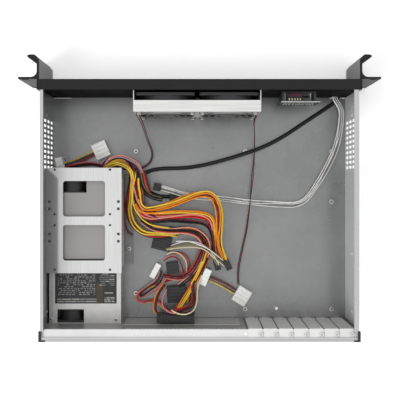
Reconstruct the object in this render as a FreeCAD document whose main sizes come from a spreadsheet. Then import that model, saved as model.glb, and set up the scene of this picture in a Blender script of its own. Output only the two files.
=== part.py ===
import FreeCAD, Part
import math
import os
import re

import Sketcher
from FreeCAD import Placement, Rotation, Vector

# A two-unit rackmount case with its lid off, in millimetres. The origin is on the floor it stands on,
# under the middle of the body. +Z is up, the front faces -Y, and +X is the power supply's side.
SIZES = {
    # tray
    "body_width": 426,
    "body_height": 87,
    "half_depth": 175,
    "front_depth": 14,  # from the bezel's face back to the tray's front edge
    "sheet": 1,
    "bend": 2,
    "rim": 7,
    "rim_trim": 2.1,  # how much less the +X rim reaches in
    "rim_stop": 14,  # where the rims end, before the tray's rear edge
    "vent_width": 4,
    "vent_height": 16,
    "vent_pitch": 7.1,
    "vent_row_pitch": 21.5,
    "vent_rows": 10,
    "vent_columns": 3,
    "vent_start": 123,
    "vent_low": 11,
    "rail_hole": 4.4,
    "rail_height": 44,
    "rail_front": 131,
    "rail_middle": 62,
    "rail_rear": 142,
    # rear panel and its slots
    "rear_inset": 15.5,  # from the tray's rear edge to the wall's outer face
    "ledge_drop": 3.5,  # from the body's top down to the ledge
    "lip_depth": 4.3,
    "lip_drop": 8,
    "ledge_screw_reach": 6.5,  # from the wall to the row of screws that hold the covers' tabs
    "psu_frame": 3.5,
    "slot_first": 178.2,  # from the sockets' opening to the first slot's middle
    "slot_pitch": 20.32,
    "slot_count": 7,
    "slot_open_width": 13,
    "slot_open_low": 9,
    "slot_open_drop": 10.5,
    "cover_width": 18.4,
    "cover_sheet": 0.9,
    "cover_low": 4,
    "cover_tab": 11.1,
    "tongue_width": 10.2,
    "cover_round": 2.5,
    "notch_round": 2.2,
    "io_width": 158.75,
    "io_height": 44.45,
    "io_low": 6,
    "io_gap": 6,  # from the power supply to the sockets' opening
    "shield_sheet": 0.5,
    "shield_play": 0.3,
    "perforation": 3.6,
    "perforation_pitch": 5.2,
    "perforation_count": 31,
    "perforation_drop": 9.5,
    "perforation_inset": 5.5,
    "slot_screw_side": 7.2,  # from a cover's middle towards -X
    "corner_wall": 1.4,
    "corner_low": 58,
    "corner_foot": 5,
    "spare_inset": 215.1,  # a spare board hole's place
    # front panel and bezel
    "unit_height": 88,
    "bezel_wall": 1.5,
    "panel_play": 0.1,
    "notch_width": 22,
    "notch_height": 13,
    "notch_inset": 1,
    "grille_width": 76,
    "grille_slot": 4.6,
    "grille_pitch": 7.4,
    "grille_count": 10,
    "button_inset": 23,
    "power_height": 62,
    "power_size": 12,
    "reset_height": 43,
    "reset_size": 5,
    "button_play": 0.3,
    "button_flange": 1.5,
    "button_out": 1.5,
    "button_travel": 2,
    "button_gap": 0.2,
    "button_stem": 3,
    "switch_size": 9,
    "switch_depth": 5,
    "light_size": 3,
    "light_height": 30,
    "light_pitch": 7,
    "light_count": 3,
    "light_out": 1,
    "light_length": 6,
    # handles
    "ear_width": 28.3,
    "ear_thickness": 2.8,
    "handle_rise": 21,  # the grip's stem in front of the ear
    "handle_stem": 3.5,
    "handle_round": 8,
    "grip_reach": 11,
    "grip_drop": 11.7,
    "grip_thickness": 6,
    "rack_slot_edge": 8.75,  # from an ear's outer edge to its slots' middle
    "rack_slot_width": 6.8,
    "rack_slot_length": 10.2,
    "rack_slot_rise": 38.1,
    "handle_hole": 4,
    "handle_screw_spread": 48,
    "handle_screw_head": 7,
    "handle_screw_reach": 4,
    # 80 mm fans and their bracket
    "fan_size": 80,
    "fan_depth": 25,
    "fan_bore": 77,
    "fan_hub": 31,
    "fan_holes": 71.5,
    "fan_flange": 4,
    "fan_blades": 7,
    "fan_left": 45.6,
    "fan_right": -39.4,
    "fan_low": 2.5,
    "fan_rear": 42,  # from the bezel's face back to the fans' rear face
    "fan_play": 0.8,
    "fan_strut": 3,
    "blade_sheet": 1.6,
    "blade_root_turn": 38,
    "blade_tip_turn": 58,
    "fan_hole": 4.3,
    "fan_struts": 4,
    "fan_root": 15,
    "fan_tip": 23,
    "screw_head": 6.6,
    "screw_head_height": 2,
    "screw_shank": 3,
    "screw_reach": 3.4,
    "bracket_sheet": 1,
    "bracket_left": 88.6,
    "bracket_right": 82.4,
    "bracket_top": 84,
    "bracket_flange": 15.3,
    "guard_rings": 4,
    "guard_wire": 2,
    "guard_hub": 17,
    "guard_pitch": 9.5,
    "guard_lug": 8,
    "bracket_tab": 7,
    "bracket_tab_top": 50,
    # front sockets
    "board_left": 110.7,
    "board_width": 52.9,
    "board_low": 24,
    "board_high": 70,
    "board_back": 28,  # the board's rear face behind the bezel's face
    "board_sheet": 1.6,
    "arm_sheet": 3,
    "arm_inset": 2,
    "socket_deep": 12,
    "socket_tongue": 2,
    "socket_left": 119,
    "socket_width": 23,
    "socket_low": 38,
    "socket_height": 17,
    "socket_mouth": 6,
    "socket_mouth_height": 13,
    "socket_pitch": 11,
    # power supply
    "psu_gap": 2.5,
    "psu_width": 100,
    "psu_length": 201.5,
    "psu_height": 40.5,
    "psu_sheet": 0.8,
    "psu_edge": 5.6,
    "psu_notch": 37,
    "psu_notch_front": 44,
    "psu_notch_depth": 19.5,
    "psu_fan_size": 38,
    "psu_fan_depth": 20,
    "psu_fan_bore": 36,
    "psu_fan_hub": 17,
    "psu_fan_holes": 32,
    "psu_fan_flange": 3,
    "psu_fan_blades": 5,
    "psu_fan_hole": 3.4,
    "psu_fan_root": 13,
    "psu_fan_tip": 18,
    "psu_fan_inset": 30,
    "inlet_inset": 21.5,
    "inlet_width": 27,
    "inlet_height": 20,
    "inlet_depth": 18,
    "inlet_level": 22,
    "inlet_mouth_width": 25,
    "inlet_mouth_height": 17.6,
    "inlet_wall": 1,
    "inlet_deep": 14,
    "inlet_pin": 2,
    "inlet_pin_pitch": 7,
    "inlet_pin_rise": 4,
    "wire_exit_inset": 22.5,
    "wire_exit_width": 34,
    "wire_exit_height": 24,
    "wire_exit_low": 10,
    # drive bracket
    "drive_sheet": 1.2,
    "drive_top": 48,
    "drive_width": 104,
    "drive_front": 58,
    "drive_rear": 88,
    "drive_foot": 12.5,
    "drive_flange": 16,
    "window_left": 189.1,
    "window_width": 58.3,
    "window_front": 39.7,
    "window_length": 49.2,
    "window_pitch": 61,
    "window_round": 3.7,
    "drive_leg_inset": 8,
    "foot_screw_inset": 30,
    "drive_hole": 3.4,
    "drive_hole_wide": 4.2,
    "small_side": 2.3,  # the small drives' middle line from the windows' middle line
    "small_spacing": 76.6,
    "small_pitch": 61.72,
    "small_first": 55.5,
    "small_second": -21.5,
    "wide_spacing": 95.25,
    "wide_first": 11.2,
    "wide_step": 10,
    "wide_second": 33.7,
    # cords and what they end in
    "board_cable_width": 6,
    "processor_cable_width": 6,
    "link_cable_width": 3,
    "drive_cable_width": 3.5,
    "usb_cable_width": 5.5,
    "panel_wires_width": 5,
    "fan_lead_width": 2.6,
    "adaptor_wires_width": 5,
    "cord_radius_share": 0.45,
    "tie_room": 1.8,
    "tie_sheet": 1.2,
    "tie_width": 3,
    "tie_back": 9,
    "usb_plug_along": 13,
    "usb_plug_across": 12.5,
    "usb_plug_high": 6.5,
    "panel_plug_along": 10,
    "panel_plug_across": 11,
    "panel_plug_high": 10,
    "processor_plug_along": 16,
    "processor_plug_across": 8.6,
    "processor_plug_high": 9,
    "board_plug_along": 10.4,
    "board_plug_across": 52,
    "board_plug_high": 26,
    "standing_plug_along": 10,
    "standing_plug_across": 24,
    "standing_plug_high": 20,
    "flat_plug_along": 21,
    "flat_plug_across": 23.5,
    "flat_plug_high": 9.6,
    "link_plug_along": 27,
    "link_plug_across": 20,
    "link_plug_high": 9,
    "thin_plug_along": 17,
    "thin_plug_across": 16,
    "thin_plug_high": 12,
    "drive_plug_along": 27,
    "drive_plug_across": 23,
    "drive_plug_high": 17,
    "data_plug_along": 22,
    "data_plug_across": 8,
    "data_plug_high": 12,
    # standoffs
    "standoff_flats": 6,
    "standoff_height": 6.5,
    "standoff_hole": 3,
    "board_rear_gap": 13.9,  # from the wall to the board's rear row of screws
    "left_row_inset": 22.9,
    "row_middle": 154.94,
    "row_front": 227.33,
    "column_left": 11.9,  # from the sockets' opening, as the next two
    "column_middle": 169.4,
    "column_right": 293.8,
}

doc = FreeCAD.newDocument("ServerCase")
sheet = doc.addObject("Spreadsheet::Sheet", "sizes")
for row, (alias, number) in enumerate(SIZES.items(), start=1):
    sheet.set(f"A{row}", alias)
    sheet.set(f"B{row}", str(number))
    sheet.setAlias(f"B{row}", alias)
probe = doc.addObject("Spreadsheet::Sheet", "probe")
doc.recompute()

# Planes that several pieces share, as expressions of the sizes.
SIDE = "(body_width / 2)"
INNER = f"({SIDE} - sheet)"
FRONT = "(front_depth - half_depth)"  # the tray's front edge, and the front panel's inner face
FACE = "(-half_depth)"  # the bezel's face
REAR = "(half_depth - rear_inset)"  # the rear wall's outer face
WALL = f"({REAR} - sheet)"  # the rear wall's inner face
LEDGE = "(body_height - ledge_drop)"
LEDGE_SCREW = f"({WALL} + ledge_screw_reach)"
BOARD_REAR = f"({WALL} - board_rear_gap)"
BUTTON_X = f"(button_inset - {SIDE})"
EAR = f"({SIDE} + ear_width)"
FAN_BACK = "(fan_rear - half_depth)"
FAN_LEVEL = "(fan_low + fan_size / 2)"
PSU_HIGH = f"({INNER} - psu_gap)"
PSU_LOW = f"({PSU_HIGH} - psu_width)"
PSU_FRONT = f"({WALL} - psu_length)"
PSU_TOP = "(sheet + psu_height)"
PSU_FAN_LEVEL = "(sheet + psu_sheet + psu_fan_size / 2)"
PSU_FAN_X = f"({PSU_HIGH} - psu_fan_inset)"
INLET_X = f"({PSU_LOW} + inlet_inset)"
WIRE_EXIT_X = f"({PSU_LOW} + wire_exit_inset)"
IO_HIGH = f"({PSU_LOW} - io_gap)"  # the +X edge of the opening for the board's sockets
BOARD_Y = f"({FACE} + board_back)"

PLANES = {"XY": "XY_Plane", "XZ": "XZ_Plane", "YZ": "YZ_Plane"}
TURNS = {
    "X": Rotation(Vector(0, 0, 1), Vector(1, 0, 0)),
    "Y": Rotation(Vector(0, 0, 1), Vector(0, 1, 0)),
    "Z": Rotation(),
}
NODES = []


def bound(text):
    """An expression in which each size is written as its cell of the sheet."""
    return re.sub(r"[a-z_]+", lambda word: f"sizes.{word[0]}" if word[0] in SIZES else word[0], text)


def name_node(thing, label):
    """Keeps an object as a finished sub-part under its own label."""
    thing.Label = label
    NODES.append(thing)
    return thing


# ---- simple solids and booleans


def block(name, x, y, z):
    """A box between two planes along each axis."""
    box = doc.addObject("Part::Box", name)
    for axis, length, (low, high) in zip("xyz", ("Length", "Width", "Height"), (x, y, z)):
        box.setExpression(f"Placement.Base.{axis}", bound(low))
        box.setExpression(length, bound(f"({high}) - ({low})"))
    return box


def rod(name, axis, start, radius, length):
    """A cylinder from its start point along +X, +Y or +Z."""
    cylinder = doc.addObject("Part::Cylinder", name)
    cylinder.Placement = Placement(Vector(), TURNS[axis])
    for letter, value in zip("xyz", start):
        cylinder.setExpression(f"Placement.Base.{letter}", bound(value))
    cylinder.setExpression("Radius", bound(radius))
    cylinder.setExpression("Height", bound(length))
    return cylinder


def hexagon(name, start, flats, height):
    """A hexagonal prism standing on its start point."""
    prism = doc.addObject("Part::Prism", name)
    prism.Polygon = 6
    for letter, value in zip("xyz", start):
        prism.setExpression(f"Placement.Base.{letter}", bound(value))
    prism.setExpression("Circumradius", bound(f"({flats}) / sqrt(3)"))
    prism.setExpression("Height", bound(height))
    return prism


def fused(name, things):
    union = doc.addObject("Part::MultiFuse", name)
    union.Shapes = things
    union.Refine = True
    return union


def grouped(name, things):
    group = doc.addObject("Part::Compound", name)
    group.Links = things
    return group


def cut(name, base, tools):
    """The base without its tools, which don't overlap one another."""
    result = doc.addObject("Part::Cut", name)
    result.Base = base
    result.Tool = tools[0] if len(tools) == 1 else grouped(f"{name}_tools", tools)
    return result


# ---- bodies made from sketches


def new_body(name):
    body = doc.addObject("PartDesign::Body", name)
    body.AllowCompound = True
    return body


def origin_of(body, role):
    return next(item for item in body.Origin.OriginFeatures if item.Role == role)


def measured(texts):
    """The values that expressions of the sizes have now, read from a sheet of their own."""
    for row, text in enumerate(texts, start=1):
        probe.set(f"A{row}", f"={bound(text)}")
    probe.recompute()
    return [float(probe.get(f"A{row}")) for row in range(1, len(texts) + 1)]


def spots(points):
    """The sketch places of points given as pairs of expressions."""
    values = measured([text for point in points for text in point])
    return [Vector(x, y, 0) for x, y in zip(values[::2], values[1::2])]


def pin(sketch, geometry, end, point, spot):
    """Ties a sketch point, drawn at its spot, to its two expressions."""
    for kind, text, length in (("DistanceX", point[0], spot.x), ("DistanceY", point[1], spot.y)):
        index = sketch.addConstraint(Sketcher.Constraint(kind, -1, 1, geometry, end, length))
        sketch.setExpression(f"Constraints[{index}]", bound(text))


def new_sketch(body, name, plane, offset, turn="0"):
    sketch = body.newObject("Sketcher::SketchObject", name)
    sketch.AttachmentSupport = [(origin_of(body, PLANES[plane]), "")]
    sketch.MapMode = "FlatFace"
    sketch.AttachmentOffset = Placement(Vector(), Rotation(Vector(0, 0, 1), 1))
    sketch.setExpression("AttachmentOffset.Base.z", bound(offset))
    sketch.setExpression("AttachmentOffset.Rotation.Angle", bound(turn))
    return sketch


def circle(x, y, radius):
    """Draws a circle in a sketch."""

    def draw(sketch):
        centre, (size,) = spots([(x, y)])[0], measured([radius])
        index = sketch.addGeometry(Part.Circle(centre, Vector(0, 0, 1), size))
        pin(sketch, index, 3, (x, y), centre)
        limit = sketch.addConstraint(Sketcher.Constraint("Radius", index, size))
        sketch.setExpression(f"Constraints[{limit}]", bound(radius))

    return draw


def polygon(points):
    """Draws a closed outline whose corners are expressions."""

    def draw(sketch):
        corners, count, first = spots(points), len(points), sketch.GeometryCount
        for k in range(count):
            sketch.addGeometry(Part.LineSegment(corners[k], corners[(k + 1) % count]))
        for k in range(count):
            following = first + (k + 1) % count
            sketch.addConstraint(Sketcher.Constraint("Coincident", first + k, 2, following, 1))
        for k in range(count):
            pin(sketch, first + k, 1, points[k], corners[k])

    return draw


def rounded(x, y, radius):
    """Draws a rectangle between two expressions each way, with round corners."""

    def draw(sketch):
        (left, right), (low, high) = x, y
        ends = [
            ((f"{left} + {radius}", low), (f"{right} - ({radius})", low)),
            ((right, f"{low} + {radius}"), (right, f"{high} - ({radius})")),
            ((f"{right} - ({radius})", high), (f"{left} + {radius}", high)),
            ((left, f"{high} - ({radius})"), (left, f"{low} + {radius}")),
        ]
        places = spots([end for line in ends for end in line])
        (size,), first = measured([radius]), sketch.GeometryCount
        for k in range(4):
            sketch.addGeometry(Part.LineSegment(places[2 * k], places[2 * k + 1]))
        for k in range(4):
            start, along = places[2 * k + 1], (places[2 * k + 1] - places[2 * k]).normalize()
            ring = Part.Circle(start + Vector(-along.y, along.x, 0) * size, Vector(0, 0, 1), size)
            angle = math.atan2(-along.x, along.y)
            sketch.addGeometry(Part.ArcOfCircle(ring, angle, angle + math.pi / 2))
        for k in range(4):
            arc = first + 4 + k
            sketch.addConstraint(Sketcher.Constraint("Coincident", first + k, 2, arc, 1))
            sketch.addConstraint(Sketcher.Constraint("Coincident", arc, 2, first + (k + 1) % 4, 1))
            limit = sketch.addConstraint(Sketcher.Constraint("Radius", arc, size))
            sketch.setExpression(f"Constraints[{limit}]", bound(radius))
            pin(sketch, first + k, 1, ends[k][0], places[2 * k])
            pin(sketch, first + k, 2, ends[k][1], places[2 * k + 1])

    return draw


def rectangle(x, y):
    (left, right), (low, high) = x, y
    return polygon([(left, low), (right, low), (right, high), (left, high)])


def pad(body, name, plane, shapes, low, high, turn="0"):
    """Adds the shapes' extrusion between two planes."""
    sketch = new_sketch(body, f"{name}_sketch", plane, f"-({high})" if plane == "XZ" else low, turn)
    for draw in shapes:
        draw(sketch)
    feature = body.newObject("PartDesign::Pad", name)
    feature.Profile = sketch
    feature.setExpression("Length", bound(f"({high}) - ({low})"))
    return feature


def pocket(body, name, plane, shapes, low, high):
    """Takes the shapes' extrusion between two planes away."""
    sketch = new_sketch(body, f"{name}_sketch", plane, f"-({low})" if plane == "XZ" else high)
    for draw in shapes:
        draw(sketch)
    feature = body.newObject("PartDesign::Pocket", name)
    feature.Profile = sketch
    feature.setExpression("Length", bound(f"({high}) - ({low})"))
    return feature


def in_rows(body, feature, rows):
    """Repeats a feature along one or two axes: (axis, pitch, count) each, "-X" going backwards."""
    steps = []
    for axis, pitch, count in rows:
        step = body.newObject("PartDesign::LinearPattern", f"{feature.Name}_along_{axis[-1]}")
        step.Direction = (origin_of(body, f"{axis[-1]}_Axis"), [""])
        step.Reversed = axis.startswith("-")
        step.setExpression("Length", bound(f"({pitch}) * ({count} - 1)"))
        step.setExpression("Occurrences", bound(count))
        steps.append(step)
    body.Tip = steps[0]
    if len(steps) == 1:
        steps[0].Originals = [feature]
        return
    both = body.newObject("PartDesign::MultiTransform", f"{feature.Name}_grid")
    both.Originals = [feature]
    both.Transformations = steps
    body.Tip = both


def around(body, feature, axis, count):
    """Repeats a feature round an axis of the body."""
    pattern = body.newObject("PartDesign::PolarPattern", f"{feature.Name}_around")
    pattern.Originals = [feature]
    pattern.Axis = (origin_of(body, f"{axis}_Axis"), [""])
    pattern.Angle = 360
    pattern.setExpression("Occurrences", bound(count))
    body.Tip = pattern
    return pattern


def put(thing, x="0", y="0", z="0"):
    for letter, value in zip("xyz", (x, y, z)):
        thing.setExpression(f"Placement.Base.{letter}", bound(value))
    return thing


def mirrored(points):
    """An outline's points and their images in X = 0, in one loop."""
    return points + [(f"-({x})", y) for x, y in reversed(points)]


def round_edges(body, drawn, corners, radius):
    """Rounds the body's edges that an extrusion's numbered sketch corners draw."""
    doc.recompute()
    sketch, base = drawn.Profile[0], body.Tip
    places = [sketch.Placement.multVec(sketch.Geometry[k].StartPoint) for k in corners]
    normal = sketch.Placement.Rotation.multVec(Vector(0, 0, 1))
    names = []
    for number, edge in enumerate(base.Shape.Edges, start=1):
        line = edge.Vertexes[-1].Point - edge.Vertexes[0].Point
        if line.Length < 1e-6 or abs(line.normalize().dot(normal)) < 0.999:
            continue
        if any((edge.Vertexes[0].Point - place).cross(normal).Length < 1e-4 for place in places):
            names.append(f"Edge{number}")
    fillet = body.newObject("PartDesign::Fillet", f"{base.Name}_round")
    fillet.Base = (base, names)
    fillet.setExpression("Radius", bound(radius))
    body.Tip = fillet


# ---- chassis


def make_tray():
    """The folded tray: floor, side walls and the rims that the lid rests on."""
    body = new_body("tray")
    top = "body_height"
    half = [
        (SIDE, "0"),
        (SIDE, top),
        (f"{SIDE} - rim", top),
        (f"{SIDE} - rim", f"{top} - sheet"),
        (INNER, f"{top} - sheet"),
        (INNER, "sheet"),
    ]
    fold = pad(body, "tray_fold", "XZ", [polygon(mirrored(half))], FRONT, "half_depth")
    last = 2 * len(half) - 1
    round_edges(body, fold, [0, 1, last - 1, last], "bend")
    behind = rectangle((f"-{INNER}", INNER), (REAR, "half_depth + 1"))
    pocket(body, "tray_rear", "XY", [behind], "-1", "sheet + 1")
    past_rims = rectangle((f"-{INNER}", INNER), ("half_depth - rim_stop", "half_depth + 1"))
    pocket(body, "rim_end", "XY", [past_rims], f"{top} - bend - 1", f"{top} + 1")
    trimmed = (f"{SIDE} - rim - 1", f"{SIDE} - rim + rim_trim")
    strip = rectangle(trimmed, (f"{FRONT} - 1", "half_depth + 1"))
    pocket(body, "rim_narrowed", "XY", [strip], f"{top} - bend - 1", f"{top} + 1")
    across = (f"-{SIDE} - 1", f"{SIDE} + 1")
    vent = rounded(
        ("-vent_start - vent_width / 2", "-vent_start + vent_width / 2"),
        ("vent_low - vent_height / 2", "vent_low + vent_height / 2"),
        "vent_width * 0.49",
    )
    vents = pocket(body, "side_vent", "YZ", [vent], *across)
    in_rows(body, vents, [("Y", "vent_pitch", "vent_rows"), ("Z", "vent_row_pitch", "vent_columns")])
    places = ("-rail_front", "rail_middle", "rail_rear")
    pocket(
        body, "rail_holes", "YZ", [circle(y, "rail_height", "rail_hole / 2") for y in places], *across
    )
    spare = circle(f"{IO_HIGH} - spare_inset", BOARD_REAR, "standoff_hole / 2 + 0.6")
    pocket(body, "spare_hole", "XY", [spare], "-1", "sheet + 1")
    name_node(body, "chassis_tray")


def slot_middle(number):
    """Where a card slot's middle is, counted from 0 at the board's sockets."""
    return f"({IO_HIGH} - slot_first - {number} * slot_pitch)"


def make_rear_panel():
    """The Z-folded rear panel: wall, ledge for the card tabs, step and lip."""
    body = new_body("rear")
    ledge, top, step = LEDGE, "body_height", "half_depth - lip_depth"
    profile = [
        (WALL, "sheet"),
        (REAR, "sheet"),
        (REAR, f"{ledge} - sheet"),
        (step, f"{ledge} - sheet"),
        (step, f"{top} - sheet"),
        ("half_depth - sheet", f"{top} - sheet"),
        ("half_depth - sheet", f"{top} - lip_drop"),
        ("half_depth", f"{top} - lip_drop"),
        ("half_depth", top),
        (f"{step} - sheet", top),
        (f"{step} - sheet", ledge),
        (WALL, ledge),
    ]
    fold = pad(body, "rear_fold", "YZ", [polygon(profile)], f"-{INNER}", INNER)
    round_edges(body, fold, [8, 11], "sheet * 0.9")
    through = (f"{WALL} - 1", f"{REAR} + 1")
    first = slot_middle(0)
    opening = rectangle(
        (f"{first} - slot_open_width / 2", f"{first} + slot_open_width / 2"),
        ("slot_open_low", f"{LEDGE} - slot_open_drop"),
    )
    slots = pocket(body, "card_slot", "XZ", [opening], *through)
    in_rows(body, slots, [("-X", "slot_pitch", "slot_count")])
    sockets = rounded((f"{IO_HIGH} - io_width", IO_HIGH), ("io_low", "io_low + io_height"), "sheet")
    supply = rounded(
        (f"{PSU_LOW} + psu_frame", f"{PSU_HIGH} - psu_frame"),
        ("sheet + psu_frame", f"{PSU_TOP} - psu_frame"),
        "psu_frame",
    )
    pocket(body, "rear_openings", "XZ", [sockets, supply], *through)
    hole = circle(f"{IO_HIGH} - perforation_inset", "body_height - perforation_drop", "perforation / 2")
    vents = pocket(body, "rear_vent", "XZ", [hole], *through)
    in_rows(body, vents, [("-X", "perforation_pitch", "perforation_count")])
    start = f"{first} + slot_pitch - slot_screw_side"
    screw_hole = circle(start, LEDGE_SCREW, "screw_shank / 2")
    holes = pocket(body, "tab_hole", "XY", [screw_hole], f"{ledge} - sheet - 1", f"{ledge} + 1")
    in_rows(body, holes, [("-X", "slot_pitch", "slot_count + 1")])
    name_node(body, "rear_panel")


def make_corners():
    """Black caps over the side walls' rear ends, each with a short foot on the lip."""
    caps = []
    for side, sign in (("left", ""), ("right", "-")):
        body = new_body(f"corner_{side}")
        outline = [
            (f"{sign}({SIDE} + corner_wall)", "body_height + sheet"),
            (f"{sign}({SIDE} - rim / 3)", "body_height + sheet"),
            (f"{sign}({SIDE} - rim / 3)", "body_height"),
            (f"{sign}{SIDE}", "body_height"),
            (f"{sign}{SIDE}", "corner_low"),
            (f"{sign}({SIDE} + corner_wall)", "corner_low"),
        ]
        ends = ("half_depth - rim_stop", "half_depth")
        pad(body, f"corner_fold_{side}", "XZ", [polygon(outline)], *ends)
        foot = rectangle(
            (f"{sign}({SIDE} - rim / 3 - corner_foot)", f"{sign}({SIDE} - rim / 3)"),
            ("half_depth - lip_depth / 2", "half_depth"),
        )
        pad(body, f"corner_foot_{side}", "XY", [foot], "body_height", "body_height + sheet")
        caps.append(body)
    name_node(grouped("corners", caps), "rear_corners")


def make_slot_cover(number):
    """A folded card-slot cover: blade, tongue in the floor's end and notched tab on the ledge."""
    body = new_body(f"cover_{number}")
    middle = slot_middle(number)
    edges = (f"{middle} - cover_width / 2", f"{middle} + cover_width / 2")
    deep = (f"{WALL} - cover_sheet", WALL)
    blade = rounded(edges, ("cover_low", LEDGE), "cover_round")
    pad(body, f"blade_{number}", "XZ", [blade], *deep)
    shoulder = rectangle(edges, (f"{LEDGE} - 2 * cover_round", f"{LEDGE} + cover_sheet"))
    pad(body, f"shoulder_{number}", "XZ", [shoulder], *deep)
    tongue = rectangle(
        (f"{middle} - tongue_width / 2", f"{middle} + tongue_width / 2"),
        ("sheet", "cover_low + cover_round"),
    )
    pad(body, f"tongue_{number}", "XZ", [tongue], *deep)
    tab = rectangle(edges, (f"{WALL} - cover_sheet", f"{WALL} + cover_tab"))
    level = (LEDGE, f"{LEDGE} + cover_sheet")
    pad(body, f"tab_{number}", "XY", [tab], *level)
    notch = rounded(
        (f"{middle} - cover_width", f"{middle} - slot_screw_side + notch_round"),
        (f"{LEDGE_SCREW} - notch_round", f"{LEDGE_SCREW} + notch_round"),
        "notch_round * 0.98",
    )
    pocket(body, f"tab_notch_{number}", "XY", [notch], *level)
    name_node(body, f"slot_cover_{number + 1}")


def make_shield():
    """The blank plate that fills the opening for the board's sockets, pressed in from inside."""
    body = new_body("shield")
    low, high = "io_low", "io_low + io_height"
    flange = rounded(
        (f"{IO_HIGH} - io_width - sheet", f"{IO_HIGH} + sheet"),
        (f"{low} - sheet", f"{high} + sheet"),
        "sheet",
    )
    pad(body, "shield_flange", "XZ", [flange], f"{WALL} - shield_sheet", WALL)
    boss = rounded(
        (f"{IO_HIGH} - io_width + shield_play", f"{IO_HIGH} - shield_play"),
        (f"{low} + shield_play", f"{high} - shield_play"),
        "sheet",
    )
    pad(body, "shield_boss", "XZ", [boss], WALL, f"{REAR} - shield_sheet")
    name_node(body, "io_shield")


# ---- front


def ring(x, y, wall):
    """A rectangle and the same rectangle a wall's width smaller."""
    (left, right), (low, high) = x, y
    inner = rectangle((f"{left} + {wall}", f"{right} - {wall}"), (f"{low} + {wall}", f"{high} - {wall}"))
    return [rectangle(x, y), inner]


SOCKET_X = ("-socket_left - socket_width", "-socket_left")
SOCKET_Z = ("socket_low", "socket_low + socket_height")


def widened(span, play):
    return (f"{span[0]} - {play}", f"{span[1]} + {play}")


def handle_holes():
    """Circles for the screws that hold each handle's leg, in the YZ plane."""
    middle = f"({FACE} + {FRONT}) / 2"
    return [
        circle(middle, f"unit_height / 2 {sign} handle_screw_spread / 2", "handle_hole / 2")
        for sign in "+-"
    ]


def make_front_panel():
    """The steel pan behind the bezel, open at the fans, the sockets and the lower corners."""
    body = new_body("panel")
    edge = "(bezel_wall + panel_play)"
    x = (f"-{SIDE} + {edge}", f"{SIDE} - {edge}")
    z = (edge, f"unit_height - {edge}")
    pad(body, "panel_wall", "XZ", [rectangle(x, z)], f"{FRONT} - sheet", FRONT)
    returns = ring(x, z, "sheet")
    pad(body, "panel_returns", "XZ", returns, f"{FACE} + bezel_wall + sheet", f"{FRONT} - sheet")
    through = (f"{FRONT} - sheet - 1", f"{FRONT} + 1")
    fans = [circle(centre, FAN_LEVEL, "fan_bore / 2") for centre in ("fan_left", "fan_right")]
    opening = rectangle(widened(SOCKET_X, "button_play"), widened(SOCKET_Z, "button_play"))
    pocket(body, "panel_openings", "XZ", fans + [opening], *through)
    notches = [
        rectangle(
            (f"{sign}({INNER} - notch_width)", f"{sign}({INNER} - notch_inset)"),
            (f"{edge} + sheet", "notch_height"),
        )
        for sign in ("", "-")
    ]
    pocket(body, "panel_notches", "XZ", notches, *through)
    pocket(body, "panel_holes", "YZ", handle_holes(), f"-{SIDE}", SIDE)
    name_node(body, "front_panel")


def make_bezel():
    """The black front: a shallow box with grilles before the fans."""
    body = new_body("bezel")
    x, z = (f"-{SIDE}", SIDE), ("0", "unit_height")
    back = f"{FACE} + bezel_wall"
    pad(body, "bezel_face", "XZ", [rectangle(x, z)], FACE, back)
    pad(body, "bezel_returns", "XZ", ring(x, z, "bezel_wall"), back, FRONT)
    through = (f"{FACE} - 1", f"{back} + 0.01")
    low = "unit_height / 2 - (grille_count - 1) * grille_pitch / 2 - grille_slot / 2"
    slots = [
        rounded(
            (f"{centre} - grille_width / 2", f"{centre} + grille_width / 2"),
            (low, f"{low} + grille_slot"),
            "grille_slot * 0.49",
        )
        for centre in ("fan_left", "fan_right")
    ]
    grille = pocket(body, "grille_slots", "XZ", slots, *through)
    in_rows(body, grille, [("Z", "grille_pitch", "grille_count")])
    sockets = rectangle(widened(SOCKET_X, "button_play"), widened(SOCKET_Z, "button_play"))
    buttons = [
        circle(BUTTON_X, f"{kind}_height", f"{kind}_size / 2 + button_play")
        for kind in ("power", "reset")
    ]
    lights = [
        circle(BUTTON_X, f"light_height - {k} * light_pitch", "light_size / 2")
        for k in range(SIZES["light_count"])
    ]
    pocket(body, "bezel_openings", "XZ", [sockets] + buttons + lights, *through)
    pocket(body, "bezel_holes", "YZ", handle_holes(), f"-{SIDE} - 1", f"{SIDE} + 1")
    name_node(body, "front_bezel")


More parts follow.
